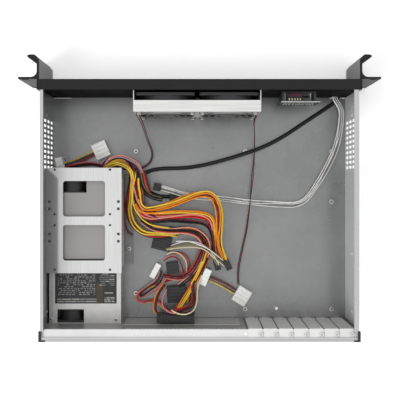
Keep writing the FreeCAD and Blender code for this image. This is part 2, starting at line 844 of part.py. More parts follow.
def make_handle(side, sign):
    """An extruded handle: leg beside the bezel, rack ear and hooked grip."""
    body = new_body(f"handle_{side}")
    leg = f"{SIDE} + handle_stem"
    ear = f"{FACE} - ear_thickness"
    grip = f"{FACE} - handle_rise - grip_drop"
    outline = [
        (SIDE, FRONT),
        (leg, FRONT),
        (leg, FACE),
        (EAR, FACE),
        (EAR, ear),
        (leg, ear),
        (leg, f"{FACE} - handle_rise"),
        (f"{leg} + grip_reach", f"{grip} + grip_thickness * 0.75"),
        (f"{leg} + grip_reach + grip_thickness / 2", f"{grip} + grip_thickness / 4"),
        (f"{leg} + grip_reach - grip_thickness / 3", grip),
        (f"{SIDE} + grip_thickness", grip),
        (SIDE, f"{FACE} - handle_rise - grip_drop * 0.4"),
    ]
    shape = polygon([(f"{sign}({x})", y) for x, y in outline])
    bar = pad(body, f"bar_{side}", "XY", [shape], "0", "unit_height")
    round_edges(body, bar, [5], "handle_round")
    round_edges(body, bar, [7, 8, 9], "grip_thickness * 0.25")
    round_edges(body, bar, [10, 11], "grip_thickness * 0.6")
    centre, half = f"{sign}({EAR} - rack_slot_edge)", "rack_slot_length / 2"
    slots = [
        rounded(
            (f"{centre} - {half}", f"{centre} + {half}"),
            (f"{level} - rack_slot_width / 2", f"{level} + rack_slot_width / 2"),
            "rack_slot_width * 0.49",
        )
        for level in ("unit_height / 2 - rack_slot_rise", "unit_height / 2 + rack_slot_rise")
    ]
    pocket(body, f"rack_slots_{side}", "XZ", slots, f"{ear} - 1", f"{FACE} + 1")
    near, far = f"{SIDE} - 1", f"{leg} + 1"
    span = (f"-({far})", f"-({near})") if sign else (near, far)
    pocket(body, f"leg_holes_{side}", "YZ", handle_holes(), *span)
    name_node(body, f"handle_{side}")


def make_handle_screws():
    """The screws that hold each handle's leg to the front pan."""
    leg = f"{SIDE} + handle_stem"
    screws = []
    for name, sign in (("left", ""), ("right", "-")):
        for level, raised in enumerate("-+"):
            middle = (f"({FACE} + {FRONT}) / 2", f"unit_height / 2 {raised} handle_screw_spread / 2")
            inner = f"{SIDE} - handle_screw_reach"
            starts = (f"{leg}", inner) if not sign else (f"-({leg} + screw_head_height)", f"-({leg})")
            seat = (starts[0], *middle)
            head = rod(f"{name}_head_{level}", "X", seat, "handle_screw_head / 2", "screw_head_height")
            length = "handle_screw_reach + handle_stem"
            shank = rod(f"{name}_shank_{level}", "X", (starts[1], *middle), "handle_hole / 2", length)
            screws.append(fused(f"{name}_screw_{level}", [head, shank]))
    name_node(grouped("side_screws", screws), "handle_screws")


# ---- fans


def make_fan_frame(name, kind, x, back, level):
    """An axial fan's frame: two flanges, a duct between them, and a motor plate on struts."""
    body = new_body(f"{name}_body")
    half, depth = f"{kind}_size / 2", f"{kind}_depth"
    square = (f"-{half}", half)
    for end, (low, high) in enumerate((("0", f"{kind}_flange"), (f"{depth} - {kind}_flange", depth))):
        flange = rounded(square, square, f"{kind}_size / 20")
        pad(body, f"{name}_flange_{end}", "XZ", [flange], low, high)
    pad(body, f"{name}_duct", "XZ", [circle("0", "0", f"{half} - 0.01")], "0", depth)
    pocket(body, f"{name}_bore", "XZ", [circle("0", "0", f"{kind}_bore / 2")], "-1", f"{depth} + 1")
    spread = f"{kind}_holes / 2"
    holes = [
        circle(f"{x_sign}{spread}", f"{z_sign}{spread}", f"{kind}_hole / 2")
        for x_sign in ("", "-")
        for z_sign in ("", "-")
    ]
    pocket(body, f"{name}_holes", "XZ", holes, "-1", f"{depth} + 1")
    plate = (f"{depth} - fan_strut", depth)
    pad(body, f"{name}_plate", "XZ", [circle("0", "0", f"{kind}_hub / 2")], *plate)
    strut = rectangle(
        (f"{kind}_hub / 2 - 1", f"{kind}_bore / 2 + 0.5"), ("-fan_strut / 2", "fan_strut / 2")
    )
    arm = pad(body, f"{name}_strut", "XZ", [strut], *plate)
    around(body, arm, "Y", "fan_struts")
    put(body, x, f"{back} - {depth}", level)
    name_node(body, name)


def blade_section(body, name, kind, radius, chord, turn):
    """A blade's section: a thin rectangle turned about the blade's own radius."""
    sketch = new_sketch(body, name, "XY", radius, turn)
    sketch.setExpression("AttachmentOffset.Base.y", bound(f"({kind}_depth - fan_strut) / 2"))
    thin = "blade_sheet / 2"
    rectangle((f"-{thin}", thin), (f"-({chord}) / 2", f"({chord}) / 2"))(sketch)
    return sketch


def make_fan_rotor(name, kind, x, back, level):
    """A fan's hub with twisted blades, lofted from root to tip and trimmed to the duct."""
    body = new_body(f"{name}_body")
    behind = f"{kind}_depth - fan_strut - fan_play"
    root, tip = f"{kind}_hub / 2 - 1.5", f"{kind}_bore / 2"
    pad(body, f"{name}_hub", "XZ", [circle("0", "0", f"{kind}_hub / 2")], "fan_play", behind)
    sections = [
        blade_section(body, f"{name}_root", kind, root, f"{kind}_root", "blade_root_turn"),
        blade_section(body, f"{name}_tip", kind, tip, f"{kind}_tip", "blade_tip_turn"),
    ]
    blade = body.newObject("PartDesign::AdditiveLoft", f"{name}_blade")
    blade.Profile = sections[0]
    blade.Sections = [sections[1]]
    blade.Ruled = True
    around(body, blade, "Y", f"{kind}_blades")
    sweep = rod(f"{name}_sweep", "Y", ("0", "0", "0"), f"{kind}_bore / 2 - fan_play", f"{kind}_depth")
    rotor = doc.addObject("Part::Common", f"{name}_rotor")
    rotor.Base = body
    rotor.Tool = sweep
    put(rotor, x, f"{back} - {kind}_depth", level)
    name_node(rotor, name)


def make_fan_bracket():
    """The bright bracket that closes the fans in: rear plate, side flanges, tabs and top flange."""
    body = new_body("fan_bracket_body")
    x, bottom = ("-bracket_right", "bracket_left"), "sheet"
    fold = polygon(
        [
            (x[0], f"{FRONT}"),
            (f"{x[0]} + bracket_tab", f"{FRONT}"),
            (f"{x[0]} + bracket_tab", f"{FRONT} + bracket_sheet"),
            (f"{x[0]} + bracket_sheet", f"{FRONT} + bracket_sheet"),
            (f"{x[0]} + bracket_sheet", FAN_BACK),
            (f"{x[1]} - bracket_sheet", FAN_BACK),
            (f"{x[1]} - bracket_sheet", f"{FRONT} + bracket_sheet"),
            (f"{x[1]} - bracket_tab", f"{FRONT} + bracket_sheet"),
            (f"{x[1]} - bracket_tab", f"{FRONT}"),
            (x[1], f"{FRONT}"),
            (x[1], f"{FAN_BACK} + bracket_sheet"),
            (x[0], f"{FAN_BACK} + bracket_sheet"),
        ]
    )
    walls = pad(body, "bracket_walls", "XY", [fold], bottom, "bracket_top")
    round_edges(body, walls, [10, 11], "bracket_sheet")
    flange = rectangle(x, (f"{FAN_BACK} - bracket_flange + bracket_sheet", FAN_BACK))
    pad(body, "bracket_flange_pad", "XY", [flange], "bracket_top - bracket_sheet", "bracket_top")
    level = (f"{FRONT} - 1", f"{FRONT} + bracket_sheet + 0.5")
    upper = [
        rectangle((f"{x[0]} + bracket_sheet", f"{x[0]} + bracket_tab + 1"), level),
        rectangle((f"{x[1]} - bracket_tab - 1", f"{x[1]} - bracket_sheet"), level),
    ]
    pocket(body, "bracket_tab_ends", "XY", upper, "bracket_tab_top", "bracket_top + 1")
    spread = "fan_holes / 2"
    openings = []
    for centre in ("fan_left", "fan_right"):
        openings.append(circle(centre, FAN_LEVEL, "fan_bore / 2"))
        openings += [
            circle(f"{centre} {x_sign} {spread}", f"{FAN_LEVEL} {z_sign} {spread}", "fan_hole / 2")
            for x_sign in "+-"
            for z_sign in "+-"
        ]
    through = (f"{FAN_BACK} - 0.5", f"{FAN_BACK} + bracket_sheet + 1")
    pocket(body, "bracket_openings", "XZ", openings, *through)
    name_node(body, "fan_bracket")


def make_guards():
    """Wire finger guards behind the bracket, each with four screw eyes."""
    guards = []
    for centre in ("fan_left", "fan_right"):
        body = new_body(f"guard_{centre}")
        level = ("0", "guard_wire")
        rings = []
        for k in range(SIZES["guard_rings"]):
            middle = f"guard_hub / 2 + {k} * guard_pitch"
            rings += [circle("0", "0", f"{middle} {sign} guard_wire / 2") for sign in "+-"]
        pad(body, f"rings_{centre}", "XZ", rings, *level)
        reach = "fan_holes / sqrt(2) - fan_hole / 2"
        arm = rectangle(("guard_hub / 2", reach), ("-guard_wire / 2", "guard_wire / 2"))
        spoke = pad(body, f"spoke_{centre}", "XZ", [arm], *level, turn="45")
        around(body, spoke, "Y", "4")
        corner = "fan_holes / 2"
        eyes = [circle(corner, corner, "guard_lug / 2"), circle(corner, corner, "fan_hole / 2")]
        eye = pad(body, f"eye_{centre}", "XZ", eyes, *level)
        around(body, eye, "Y", "4")
        guards.append(put(body, centre, f"{FAN_BACK} + bracket_sheet", FAN_LEVEL))
    name_node(grouped("guards", guards), "fan_guards")


def make_fan_screws():
    """Screws through each guard's eyes and the bracket into the fan's corners."""
    screws = []
    spread = "fan_holes / 2"
    seat = f"{FAN_BACK} + bracket_sheet + guard_wire"
    for centre in ("fan_left", "fan_right"):
        for number, (x_sign, z_sign) in enumerate(("++", "+-", "-+", "--")):
            at = (f"{centre} {x_sign} {spread}", f"{FAN_LEVEL} {z_sign} {spread}")
            name = f"{centre}_{number}"
            start = f"{seat} - screw_reach - fan_flange"
            head = rod(f"head_{name}", "Y", (at[0], seat, at[1]), "screw_head / 2", "screw_head_height")
            length = "screw_reach + fan_flange"
            shank = rod(f"shank_{name}", "Y", (at[0], start, at[1]), "fan_hole / 2", length)
            screws.append(fused(f"screw_{name}", [head, shank]))
    name_node(grouped("fan_screw_group", screws), "fan_screws")


# ---- front sockets and buttons


def make_socket_unit():
    """The front sockets: a bent bracket on the pan, a circuit board and two shielded sockets."""
    board_front = f"{BOARD_Y} - board_sheet"
    left, right = "-board_left - arm_inset", "-board_left - board_width + arm_inset + arm_sheet"
    low, high = "board_low + arm_sheet", "board_high - arm_sheet"
    bracket = new_body("socket_bracket")
    fold = polygon(
        [
            (left, FRONT),
            (left, board_front),
            (f"{left} - arm_sheet", board_front),
            (f"{left} - arm_sheet", f"{FRONT} + sheet"),
            (f"{right} + arm_sheet", f"{FRONT} + sheet"),
            (f"{right} + arm_sheet", board_front),
            (right, board_front),
            (right, FRONT),
        ]
    )
    pad(bracket, "socket_fold", "XY", [fold], low, high)
    opening = rectangle(widened(SOCKET_X, "button_play"), widened(SOCKET_Z, "button_play"))
    pocket(bracket, "socket_window", "XZ", [opening], f"{FRONT} - 1", f"{FRONT} + sheet + 1")
    name_node(bracket, "io_bracket")
    board = block(
        "board_block",
        ("-board_left - board_width", "-board_left"),
        (board_front, BOARD_Y),
        ("board_low", "board_high"),
    )
    name_node(board, "io_board")
    body = new_body("socket_housing")
    pad(body, "socket_shell", "XZ", [rectangle(SOCKET_X, SOCKET_Z)], FACE, board_front)
    middle_x = "(-socket_left - socket_width / 2)"
    middle_z = "(socket_low + socket_height / 2)"
    centres = [f"{middle_x} {sign} socket_pitch / 2" for sign in "+-"]
    half = ("socket_mouth / 2", "socket_mouth_height / 2")
    mouths = [
        rectangle(
            (f"{centre} - {half[0]}", f"{centre} + {half[0]}"),
            (f"{middle_z} - {half[1]}", f"{middle_z} + {half[1]}"),
        )
        for centre in centres
    ]
    pocket(body, "socket_mouths", "XZ", mouths, f"{FACE} - 1", f"{FACE} + socket_deep")
    tongues = [
        rectangle(
            (f"{centre} + socket_tongue / 4", f"{centre} + socket_tongue * 5 / 4"),
            (f"{middle_z} - {half[1]} + 1", f"{middle_z} + {half[1]} - 1"),
        )
        for centre in centres
    ]
    pad(body, "socket_tongues", "XZ", tongues, f"{FACE} + 1", f"{FACE} + socket_deep")
    name_node(body, "usb_ports")


def make_buttons():
    """Two sprung buttons in the bezel, the switches they press, and the lights below them."""
    inside = f"{FACE} + bezel_wall + button_gap"
    switches = []
    for kind in ("power", "reset"):
        level = f"{kind}_height"
        x = BUTTON_X
        face = f"{FACE} - button_out"
        cap = rod(f"{kind}_cap", "Y", (x, face, level), f"{kind}_size / 2", f"{inside} - ({face})")
        rim = f"{kind}_size / 2 + button_flange"
        flange = rod(f"{kind}_flange", "Y", (x, inside, level), rim, "button_flange / 2")
        switch_front = f"{FRONT} - sheet - switch_depth"
        stem_end = f"{switch_front} - button_travel - button_gap"
        stem_start = f"{inside} + button_flange / 2"
        length = f"{stem_end} - ({stem_start})"
        stem = rod(f"{kind}_stem", "Y", (x, stem_start, level), "button_stem / 2", length)
        name_node(fused(f"{kind}_whole", [cap, flange, stem]), f"{kind}_button")
        half = "switch_size / 2"
        switches.append(
            block(
                f"{kind}_switch",
                (f"{x} - {half}", f"{x} + {half}"),
                (switch_front, f"{FRONT} - sheet"),
                (f"{level} - {half}", f"{level} + {half}"),
            )
        )
    name_node(grouped("switches", switches), "button_switches")
    lights = []
    for k in range(SIZES["light_count"]):
        at = (BUTTON_X, f"{FACE} - light_out", f"light_height - {k} * light_pitch")
        lights.append(rod(f"light_{k}", "Y", at, "light_size / 2", "light_length"))
    name_node(grouped("lights", lights), "indicator_lights")


# ---- power supply


def make_psu_shell():
    """The supply's open-topped box, with fan openings, the inlet's cut-out and the wire exit."""
    body = new_body("psu_box")
    x, y = (PSU_LOW, PSU_HIGH), (PSU_FRONT, WALL)
    pad(body, "psu_block", "XY", [rectangle(x, y)], "sheet", f"{PSU_TOP} - psu_sheet")
    hollow = rectangle(
        (f"{x[0]} + psu_sheet", f"{x[1]} - psu_sheet"), (f"{y[0]} + psu_sheet", f"{y[1]} - psu_sheet")
    )
    pocket(body, "psu_hollow", "XY", [hollow], "sheet + psu_sheet", f"{PSU_TOP} + 1")
    edge = rectangle((f"{x[1]} - psu_edge", x[1]), y)
    pad(body, "psu_edge_pad", "XY", [edge], f"{PSU_TOP} - psu_sheet", PSU_TOP)
    grille = circle(PSU_FAN_X, PSU_FAN_LEVEL, "psu_fan_bore / 2 - 0.5")
    inlet = rectangle(*inlet_span("inlet_mouth_width", "inlet_mouth_height"))
    pocket(body, "psu_rear_openings", "XZ", [grille, inlet], f"{WALL} - psu_sheet - 0.5", f"{WALL} + 1")
    half = "wire_exit_width / 2"
    wires = rounded(
        (f"{WIRE_EXIT_X} - {half}", f"{WIRE_EXIT_X} + {half}"),
        ("wire_exit_low", "wire_exit_low + wire_exit_height"),
        "psu_sheet * 2",
    )
    front_grille = circle(PSU_FAN_X, PSU_FAN_LEVEL, "psu_fan_bore / 2 - 0.5")
    front_span = (f"{PSU_FRONT} - 1", f"{PSU_FRONT} + psu_sheet + 0.5")
    pocket(body, "psu_front_openings", "XZ", [front_grille, wires], *front_span)
    name_node(body, "psu_shell")


def inlet_span(width, height):
    """A rectangle's spans round the inlet's middle."""
    return (
        (f"{INLET_X} - {width} / 2", f"{INLET_X} + {width} / 2"),
        (f"inlet_level - {height} / 2", f"inlet_level + {height} / 2"),
    )


def make_psu_cover():
    """The supply's lid, notched over both fans, with a flange down inside the shell."""
    body = new_body("psu_lid")
    x = (PSU_LOW, f"{PSU_HIGH} - psu_edge")
    level = (f"{PSU_TOP} - psu_sheet", PSU_TOP)
    pad(body, "lid_plate", "XY", [rectangle(x, (PSU_FRONT, WALL))], *level)
    spans = {
        "psu_notch_front": (f"{PSU_FRONT} - 1", f"{PSU_FRONT} + psu_notch_depth"),
        "psu_notch": (f"{WALL} - psu_notch_depth", f"{WALL} + 1"),
    }
    notches = [
        rectangle((f"{PSU_FAN_X} - {width} / 2", f"{PSU_FAN_X} + {width} / 2"), span)
        for width, span in spans.items()
    ]
    pocket(body, "lid_notches", "XY", notches, level[0], f"{level[1]} + 1")
    flange_x = (f"{PSU_LOW} + psu_sheet", f"{PSU_LOW} + 2 * psu_sheet")
    flange_y = (f"{PSU_FRONT} + psu_edge", f"{WALL} - psu_edge - inlet_depth")
    flange = rectangle(flange_x, flange_y)
    pad(body, "lid_flange", "XY", [flange], f"{level[0]} - psu_edge", level[0])
    name_node(body, "psu_cover")


def make_inlet():
    """The three-pin power inlet, held from inside and flush with the rear wall."""
    body = new_body("inlet")
    behind = f"{WALL} - psu_sheet"
    shell = rectangle(*inlet_span("inlet_width", "inlet_height"))
    pad(body, "inlet_block", "XZ", [shell], f"{behind} - inlet_depth", behind)
    mouth = rectangle(*inlet_span("inlet_mouth_width", "inlet_mouth_height"))
    pad(body, "inlet_mouth_pad", "XZ", [mouth], behind, WALL)
    inner = [f"(inlet_mouth_{way} - 2 * inlet_wall)" for way in ("width", "height")]
    hollow = rounded(*inlet_span(*inner), "inlet_wall")
    pocket(body, "inlet_hollow", "XZ", [hollow], f"{WALL} - inlet_deep", f"{WALL} + 1")
    pins = []
    for across, up in ((-1, 0), (0, 1), (1, 0)):
        x, z = f"{INLET_X} + {across} * inlet_pin_pitch", f"inlet_level + {up} * inlet_pin_rise"
        pins.append(
            rectangle(
                (f"{x} - inlet_pin / 2", f"{x} + inlet_pin / 2"), (f"{z} - inlet_pin", f"{z} + inlet_pin")
            )
        )
    pad(body, "inlet_pins", "XZ", pins, f"{WALL} - inlet_deep", f"{WALL} - inlet_wall")
    name_node(body, "power_inlet")


# ---- drive bracket, standoffs and screws

DRIVE_LOW = f"({INNER} - drive_width)"
DRIVE_SPAN = ("-drive_front", "drive_rear")
LEG_SPAN = ("-drive_front + drive_leg_inset", "drive_rear - drive_leg_inset")


def make_drive_bracket():
    """The bridge that carries drives over the supply: windowed plate, wall flange, leg and foot."""
    body = new_body("bridge")
    top, under = "drive_top", "(drive_top - drive_sheet)"
    plate = rectangle((DRIVE_LOW, INNER), DRIVE_SPAN)
    pad(body, "bridge_plate", "XY", [plate], under, top)
    fold = [
        (f"{DRIVE_LOW} - drive_foot", "sheet"),
        (f"{DRIVE_LOW} + drive_sheet", "sheet"),
        (f"{DRIVE_LOW} + drive_sheet", under),
        (f"{INNER} - drive_sheet", under),
        (f"{INNER} - drive_sheet", "drive_top - drive_flange"),
        (INNER, "drive_top - drive_flange"),
        (INNER, top),
        (DRIVE_LOW, top),
        (DRIVE_LOW, "sheet + drive_sheet"),
        (f"{DRIVE_LOW} - drive_foot", "sheet + drive_sheet"),
    ]
    pad(body, "bridge_fold", "XZ", [polygon(fold)], *LEG_SPAN)
    windows = [
        rounded(
            ("window_left - window_width", "window_left"),
            (
                f"-window_front + {k} * window_pitch",
                f"-window_front + window_length + {k} * window_pitch",
            ),
            "window_round",
        )
        for k in range(2)
    ]
    through = (f"{under} - 0.5", f"{top} + 1")
    pocket(body, "bridge_windows", "XY", windows, *through)
    middle = "(window_left - window_width / 2)"
    holes = []
    for sign in "+-":
        for first in ("small_first", "small_second"):
            for step in ("0", "small_pitch"):
                x, y = f"{middle} + small_side {sign} small_spacing / 2", f"-{first} + {step}"
                holes.append(circle(x, y, "drive_hole / 2"))
        for y in ("-wide_first", "-wide_first + wide_step", "wide_second", "wide_second + wide_step"):
            holes.append(circle(f"{middle} {sign} wide_spacing / 2", y, "drive_hole_wide / 2"))
    pocket(body, "bridge_holes", "XY", holes, *through)
    foot = [circle(f"{DRIVE_LOW} - drive_foot / 2", y, "screw_shank / 2") for y in FOOT_SCREWS]
    pocket(body, "foot_holes", "XY", foot, "sheet - 0.5", "sheet + drive_sheet + 1")
    name_node(body, "drive_bracket")


FOOT_SCREWS = ("-drive_front + foot_screw_inset", "drive_rear - foot_screw_inset")


def make_standoffs():
    """Hexagonal tapped standoffs for the board's nine screws."""
    columns = [f"{IO_HIGH} - column_{name}" for name in ("left", "middle", "right")]
    rows = [(columns[0], f"{BOARD_REAR} - left_row_inset")]
    rows += [(column, BOARD_REAR) for column in columns[1:]]
    for column in columns:
        rows += [(column, f"{BOARD_REAR} - row_middle"), (column, f"{BOARD_REAR} - row_front")]
    posts = []
    for k, (x, y) in enumerate(rows):
        post = hexagon(f"post_{k}", (x, y, "sheet"), "standoff_flats", "standoff_height")
        hole = rod(f"post_hole_{k}", "Z", (x, y, "sheet"), "standoff_hole / 2", "standoff_height")
        posts.append(cut(f"standoff_{k}", post, [hole]))
    name_node(grouped("standoff_group", posts), "standoffs")


def make_case_screws():
    """The pan-head screws of the slot covers and the drive bracket's foot."""
    places = []
    for k in range(SIZES["slot_count"]):
        x = f"{slot_middle(k)} - slot_screw_side"
        places.append((x, LEDGE_SCREW, f"{LEDGE} + cover_sheet", "cover_sheet + sheet"))
    for y in FOOT_SCREWS:
        x = f"{DRIVE_LOW} - drive_foot / 2"
        places.append((x, y, "sheet + drive_sheet", "drive_sheet"))
    screws = []
    for k, (x, y, seat, reach) in enumerate(places):
        head = rod(f"pan_{k}", "Z", (x, y, seat), "screw_head / 2", "screw_head_height")
        shank = rod(f"thread_{k}", "Z", (x, y, f"{seat} - ({reach})"), "screw_shank / 2", reach)
        screws.append(fused(f"pan_screw_{k}", [head, shank]))
    name_node(grouped("pan_screws", screws), "case_screws")


# ---- cords

# Each cord's route, in the frame's millimetres: straight runs between these points, joined by arcs.
ROUTES = {
    "board_cable": [
        (136.5, -40, 15), (136.5, -60, 15), (124.5, -72, 15), (107.5, -72, 15), (95.5, -60, 15),
        (96, -41.5, 15), (100, -23, 15), (101.5, -3, 15.5), (98.5, 16, 16), (88, 29.5, 16),
        (71, 37.5, 16), (52, 38, 17), (32, 33.5, 18), (13.5, 30.5, 18.5), (-2, 36.5, 18),
        (-11.5, 50, 17.5), (-12, 67, 17), (-5, 83, 16), (4.5, 98, 16), (12, 112.5, 20),
        (20, 125.5, 28), (27.5, 135, 38), (33, 145, 43),
    ],
    "processor_cable_1": [
        (136.5, -40, 21.5), (136.5, -60, 21.5), (124.5, -72, 21.5), (107.5, -72, 21.5),
        (95.5, -60, 21.5), (94.5, -41.5, 21.5), (93, -24.5, 21.5), (87.5, -8, 22), (74.5, 0.5, 23),
        (57.5, -1, 25), (40.5, -6.5, 28), (23.5, -14.5, 30), (6.5, -20, 31), (-10.5, -20.5, 31),
        (-24, -12.5, 30.5), (-30.5, 3, 29.5), (-30.5, 21.5, 28), (-27.5, 39.5, 25), (-29, 57, 20),
        (-36.5, 72.5, 13),
    ],
    "processor_cable_2": [
        (136.5, -40, 28), (136.5, -60, 28), (124.5, -72, 28), (107.5, -72, 28), (95.5, -60, 28),
        (93.5, -41.5, 28), (89.5, -26, 29), (84.5, -9.5, 29.5), (75.5, 4.5, 29.5), (60, 11, 27.5),
        (42.5, 10.5, 26), (25, 7.5, 24), (8, 7, 22.5), (-8, 10, 21), (-18.5, 20.5, 20),
        (-21.5, 36.5, 18.5), (-19.5, 53.5, 15), (-23.5, 72, 11),
    ],
    "link_cable": [
        (42.5, 56, 7), (28, 49.5, 15), (12, 47, 22), (-3, 50.5, 26), (-14, 60, 27.5),
        (-22.5, 72, 24), (-26.5, 80.5, 18),
    ],
    "drive_cable": [
        (39.5, 64, 7), (26, 63.5, 8), (16.5, 73, 8), (16.5, 86.5, 8), (26, 97.5, 8),
        (42.5, 102.5, 7.5), (61.5, 107.5, 7.5), (76.5, 113.5, 9), (87.5, 119, 10.5),
        (92, 129.5, 10.5), (82.5, 136.5, 10), (71.5, 133, 8.5), (60.5, 133, 7.5), (52, 141.5, 8),
        (40.5, 149.5, 9), (26, 149, 11), (13, 141.5, 12), (9.5, 129, 12), (16, 121, 11),
    ],
    "usb_cable": [
        (-203, -168, 6.4), (-199.5, -157.5, 5.4), (-189.5, -149.5, 3.9), (-171.5, -137.5, 4.3),
        (-148.5, -122.5, 4.4), (-123.5, -105.5, 5), (-96, -90.5, 8), (-65.5, -79.5, 11),
        (-36, -70.5, 9), (-6.5, -63, 6), (22.5, -58.5, 4.5), (51.5, -56.5, 4.5), (71, -51.5, 4.5),
        (78.5, -37, 4.5), (71.5, -23, 4.5), (56.5, -17, 4.5), (43.5, -17.5, 4.5),
    ],
    "panel_wires": [
        (-193, -166, 9.5), (-194, -157.5, 10.7), (-199.8, -149.8, 10.2), (-204.8, -140.5, 6.8),
        (-204.5, -127, 5), (-200.5, -102, 8), (-194, -81.5, 10.8), (-183, -58, 9),
        (-169.5, -34.5, 8), (-156, -14, 6), (-140, -5.5, 5), (-119.5, -6, 5), (-96, -7.5, 7),
        (-71, -10, 11.5), (-46.5, -13, 12), (-23.5, -15.5, 13), (-0.5, -17, 14), (21, -20.5, 13),
        (41, -27, 11.5), (56.5, -30.5, 6.5),
    ],
    "fan_lead_left": [
        (87, -132, 50), (82, -125.5, 42), (77.5, -110.5, 28), (73.5, -96, 16), (67.5, -82, 8),
        (69.5, -69, 5), (79, -60.5, 3.5), (93.5, -57, 3.5), (109.5, -57.5, 3.5), (122.5, -62, 3.5),
        (133, -70, 5),
    ],
    "fan_lead_right": [
        (-80.7, -132, 50), (-76, -125.5, 40), (-78.5, -109, 28), (-79.5, -90, 14.8),
        (-79, -70, 13), (-77, -50, 12), (-75, -30, 14), (-73, -10, 17.5), (-71, 10, 11),
        (-68.5, 30.5, 7), (-63.5, 51, 5), (-59.5, 71, 4.5), (-55.5, 90, 4.5), (-56.5, 109.5, 5),
    ],
    "adaptor_wires_a": [
        (193.5, -63, 11), (180, -66.5, 9), (165, -74, 7.5), (151.5, -80, 6.5),
    ],
    "adaptor_wires_b": [
        (-13, 99, 12), (-26, 104.5, 10), (-39, 112, 8), (-52, 120, 6),
    ],
}
CORD_WIDTHS = {name: f"{name}_width" for name in ROUTES}
CORD_WIDTHS["processor_cable_1"] = CORD_WIDTHS["processor_cable_2"] = "processor_cable_width"
CORD_WIDTHS["fan_lead_left"] = CORD_WIDTHS["fan_lead_right"] = "fan_lead_width"
CORD_WIDTHS["adaptor_wires_a"] = CORD_WIDTHS["adaptor_wires_b"] = "adaptor_wires_width"


def make_cord(name):
    """A cord's plain tube: a circle swept along straight runs joined by tangent arcs."""
    points = [Vector(*point) for point in ROUTES[name]]
    radius = SIZES[CORD_WIDTHS[name]] / 2
    edges, radii, start = [], [], points[0]
    for before, corner, after in zip(points, points[1:], points[2:]):
        back, on = before - corner, after - corner
        reach = SIZES["cord_radius_share"] * min(back.Length, on.Length)
        turn = math.pi - back.getAngle(on)
        radii.append(reach / math.tan(turn / 2))
        first, last = corner + back.normalize() * reach, corner + on.normalize() * reach
        inward = (first + last) / 2 - corner
        centre = corner + inward.normalize() * math.hypot(radii[-1], reach)
        middle = centre + (corner - centre).normalize() * radii[-1]
        edges += [Part.LineSegment(start, first).toShape(), Part.Arc(first, middle, last).toShape()]
        start = last
    edges.append(Part.LineSegment(start, points[-1]).toShape())
    path = Part.Wire(edges)
    ring = Part.Circle(points[0], points[1] - points[0], radius).toShape()
    tube = path.makePipeShell([Part.Wire([ring])], True, False)
    expected = math.pi * radius**2 * path.Length
    if abs(tube.Volume / expected - 1) > 0.01:
        raise RuntimeError(f"{name}'s tube holds {tube.Volume:.0f} and not {expected:.0f}")
    print(name, "length", round(path.Length), "smallest radius", round(min(radii), 1))
    cord = doc.addObject("Part::Feature", name)
    cord.Shape = tube
    name_node(cord, name)


def plug(name, kind, place, turn):
    """A plug's block of its kind's size, its near face's bottom middle at the place, then turned."""
    box = doc.addObject("Part::Box", name)
    across = SIZES[f"{kind}_across"] / 2
    corner = turn.multVec(Vector(0, -across, 0))
    box.Placement = Placement(Vector(*place) + corner, turn)
    for length, word in (("Length", "along"), ("Width", "across"), ("Height", "high")):
        box.setExpression(length, bound(f"{kind}_{word}"))
    return box


def plug_on(name, kind, cord, end=-1):
    """A plug on a cord's last or first point, turned the way the cord runs there."""
    tip = Vector(*ROUTES[cord][end])
    way = tip - Vector(*ROUTES[cord][-2 if end == -1 else 1])
    way.z = 0
    tip.z -= SIZES[f"{kind}_high"] / 2
    return plug(name, kind, tip, Rotation(Vector(1, 0, 0), way))


def lying(name, kind, x, y, turn):
    """A plug lying loose on the floor."""
    box = plug(name, kind, (x, y, 0), Rotation(Vector(0, 0, 1), turn))
    box.setExpression("Placement.Base.z", bound("sheet"))
    return box


def make_plugs():
    """What the cords end in: plug bodies on the cords' ends and loose on the floor."""
    name_node(plug_on("usb_block", "usb_plug", "usb_cable"), "usb_plug")
    name_node(plug_on("panel_block", "panel_plug", "panel_wires"), "panel_plug")
    for number in (1, 2):
        name = f"processor_plug_{number}"
        on_cable = plug_on(f"block_of_{name}", "processor_plug", f"processor_cable_{number}")
        name_node(on_cable, name)
    board_end = Vector(*ROUTES["board_cable"][-1])
    board_end.z -= SIZES["board_plug_high"] / 2
    leaning = plug("board_block", "board_plug", board_end, Rotation(Vector(0, 0, 1), 90))
    name_node(leaning, "board_plug")
    for letter in ("a", "b"):
        cord = f"adaptor_wires_{letter}"
        near = plug_on(f"standing_plug_{letter}", "standing_plug", cord, end=0)
        far = plug_on(f"flat_plug_{letter}", "flat_plug", cord)
        name_node(grouped(f"plug_pair_{letter}", [near, far]), f"adaptor_plugs_{letter}")
    blocks = [
        lying("drive_block_1", "link_plug", 41.4, 52.8, -14),
        lying("drive_block_2", "thin_plug", 30.6, 83.3, 8),
        lying("drive_block_3", "drive_plug", 19.5, 121.1, 4),
        lying("drive_block_4", "data_plug", 58.3, 79.3, 62),
    ]
    name_node(grouped("drive_blocks", blocks), "drive_plugs")


def make_tie():
    """The band round the supply's three cables, where they turn towards the rear."""
    names = ("board_cable", "processor_cable_1", "processor_cable_2")
    x, y, low = ROUTES[names[0]][4]
    x += (ROUTES[names[0]][5][0] - x) / 2
    y += SIZES["tie_back"]
    high = ROUTES[names[-1]][4][2]
    half = "board_cable_width / 2 + tie_room"
    spans = [(f"{x} - ({half})", f"{x} + {half}"), (f"{low} - ({half})", f"{high} + {half}")]
    outer = [widened(span, "tie_sheet") for span in spans]
    width = (f"{y} - tie_width / 2", f"{y} + tie_width / 2")
    band = block("tie_outside", outer[0], width, outer[1])
    name_node(cut("tie", band, [block("tie_inside", spans[0], width, spans[1])]), "cable_tie")


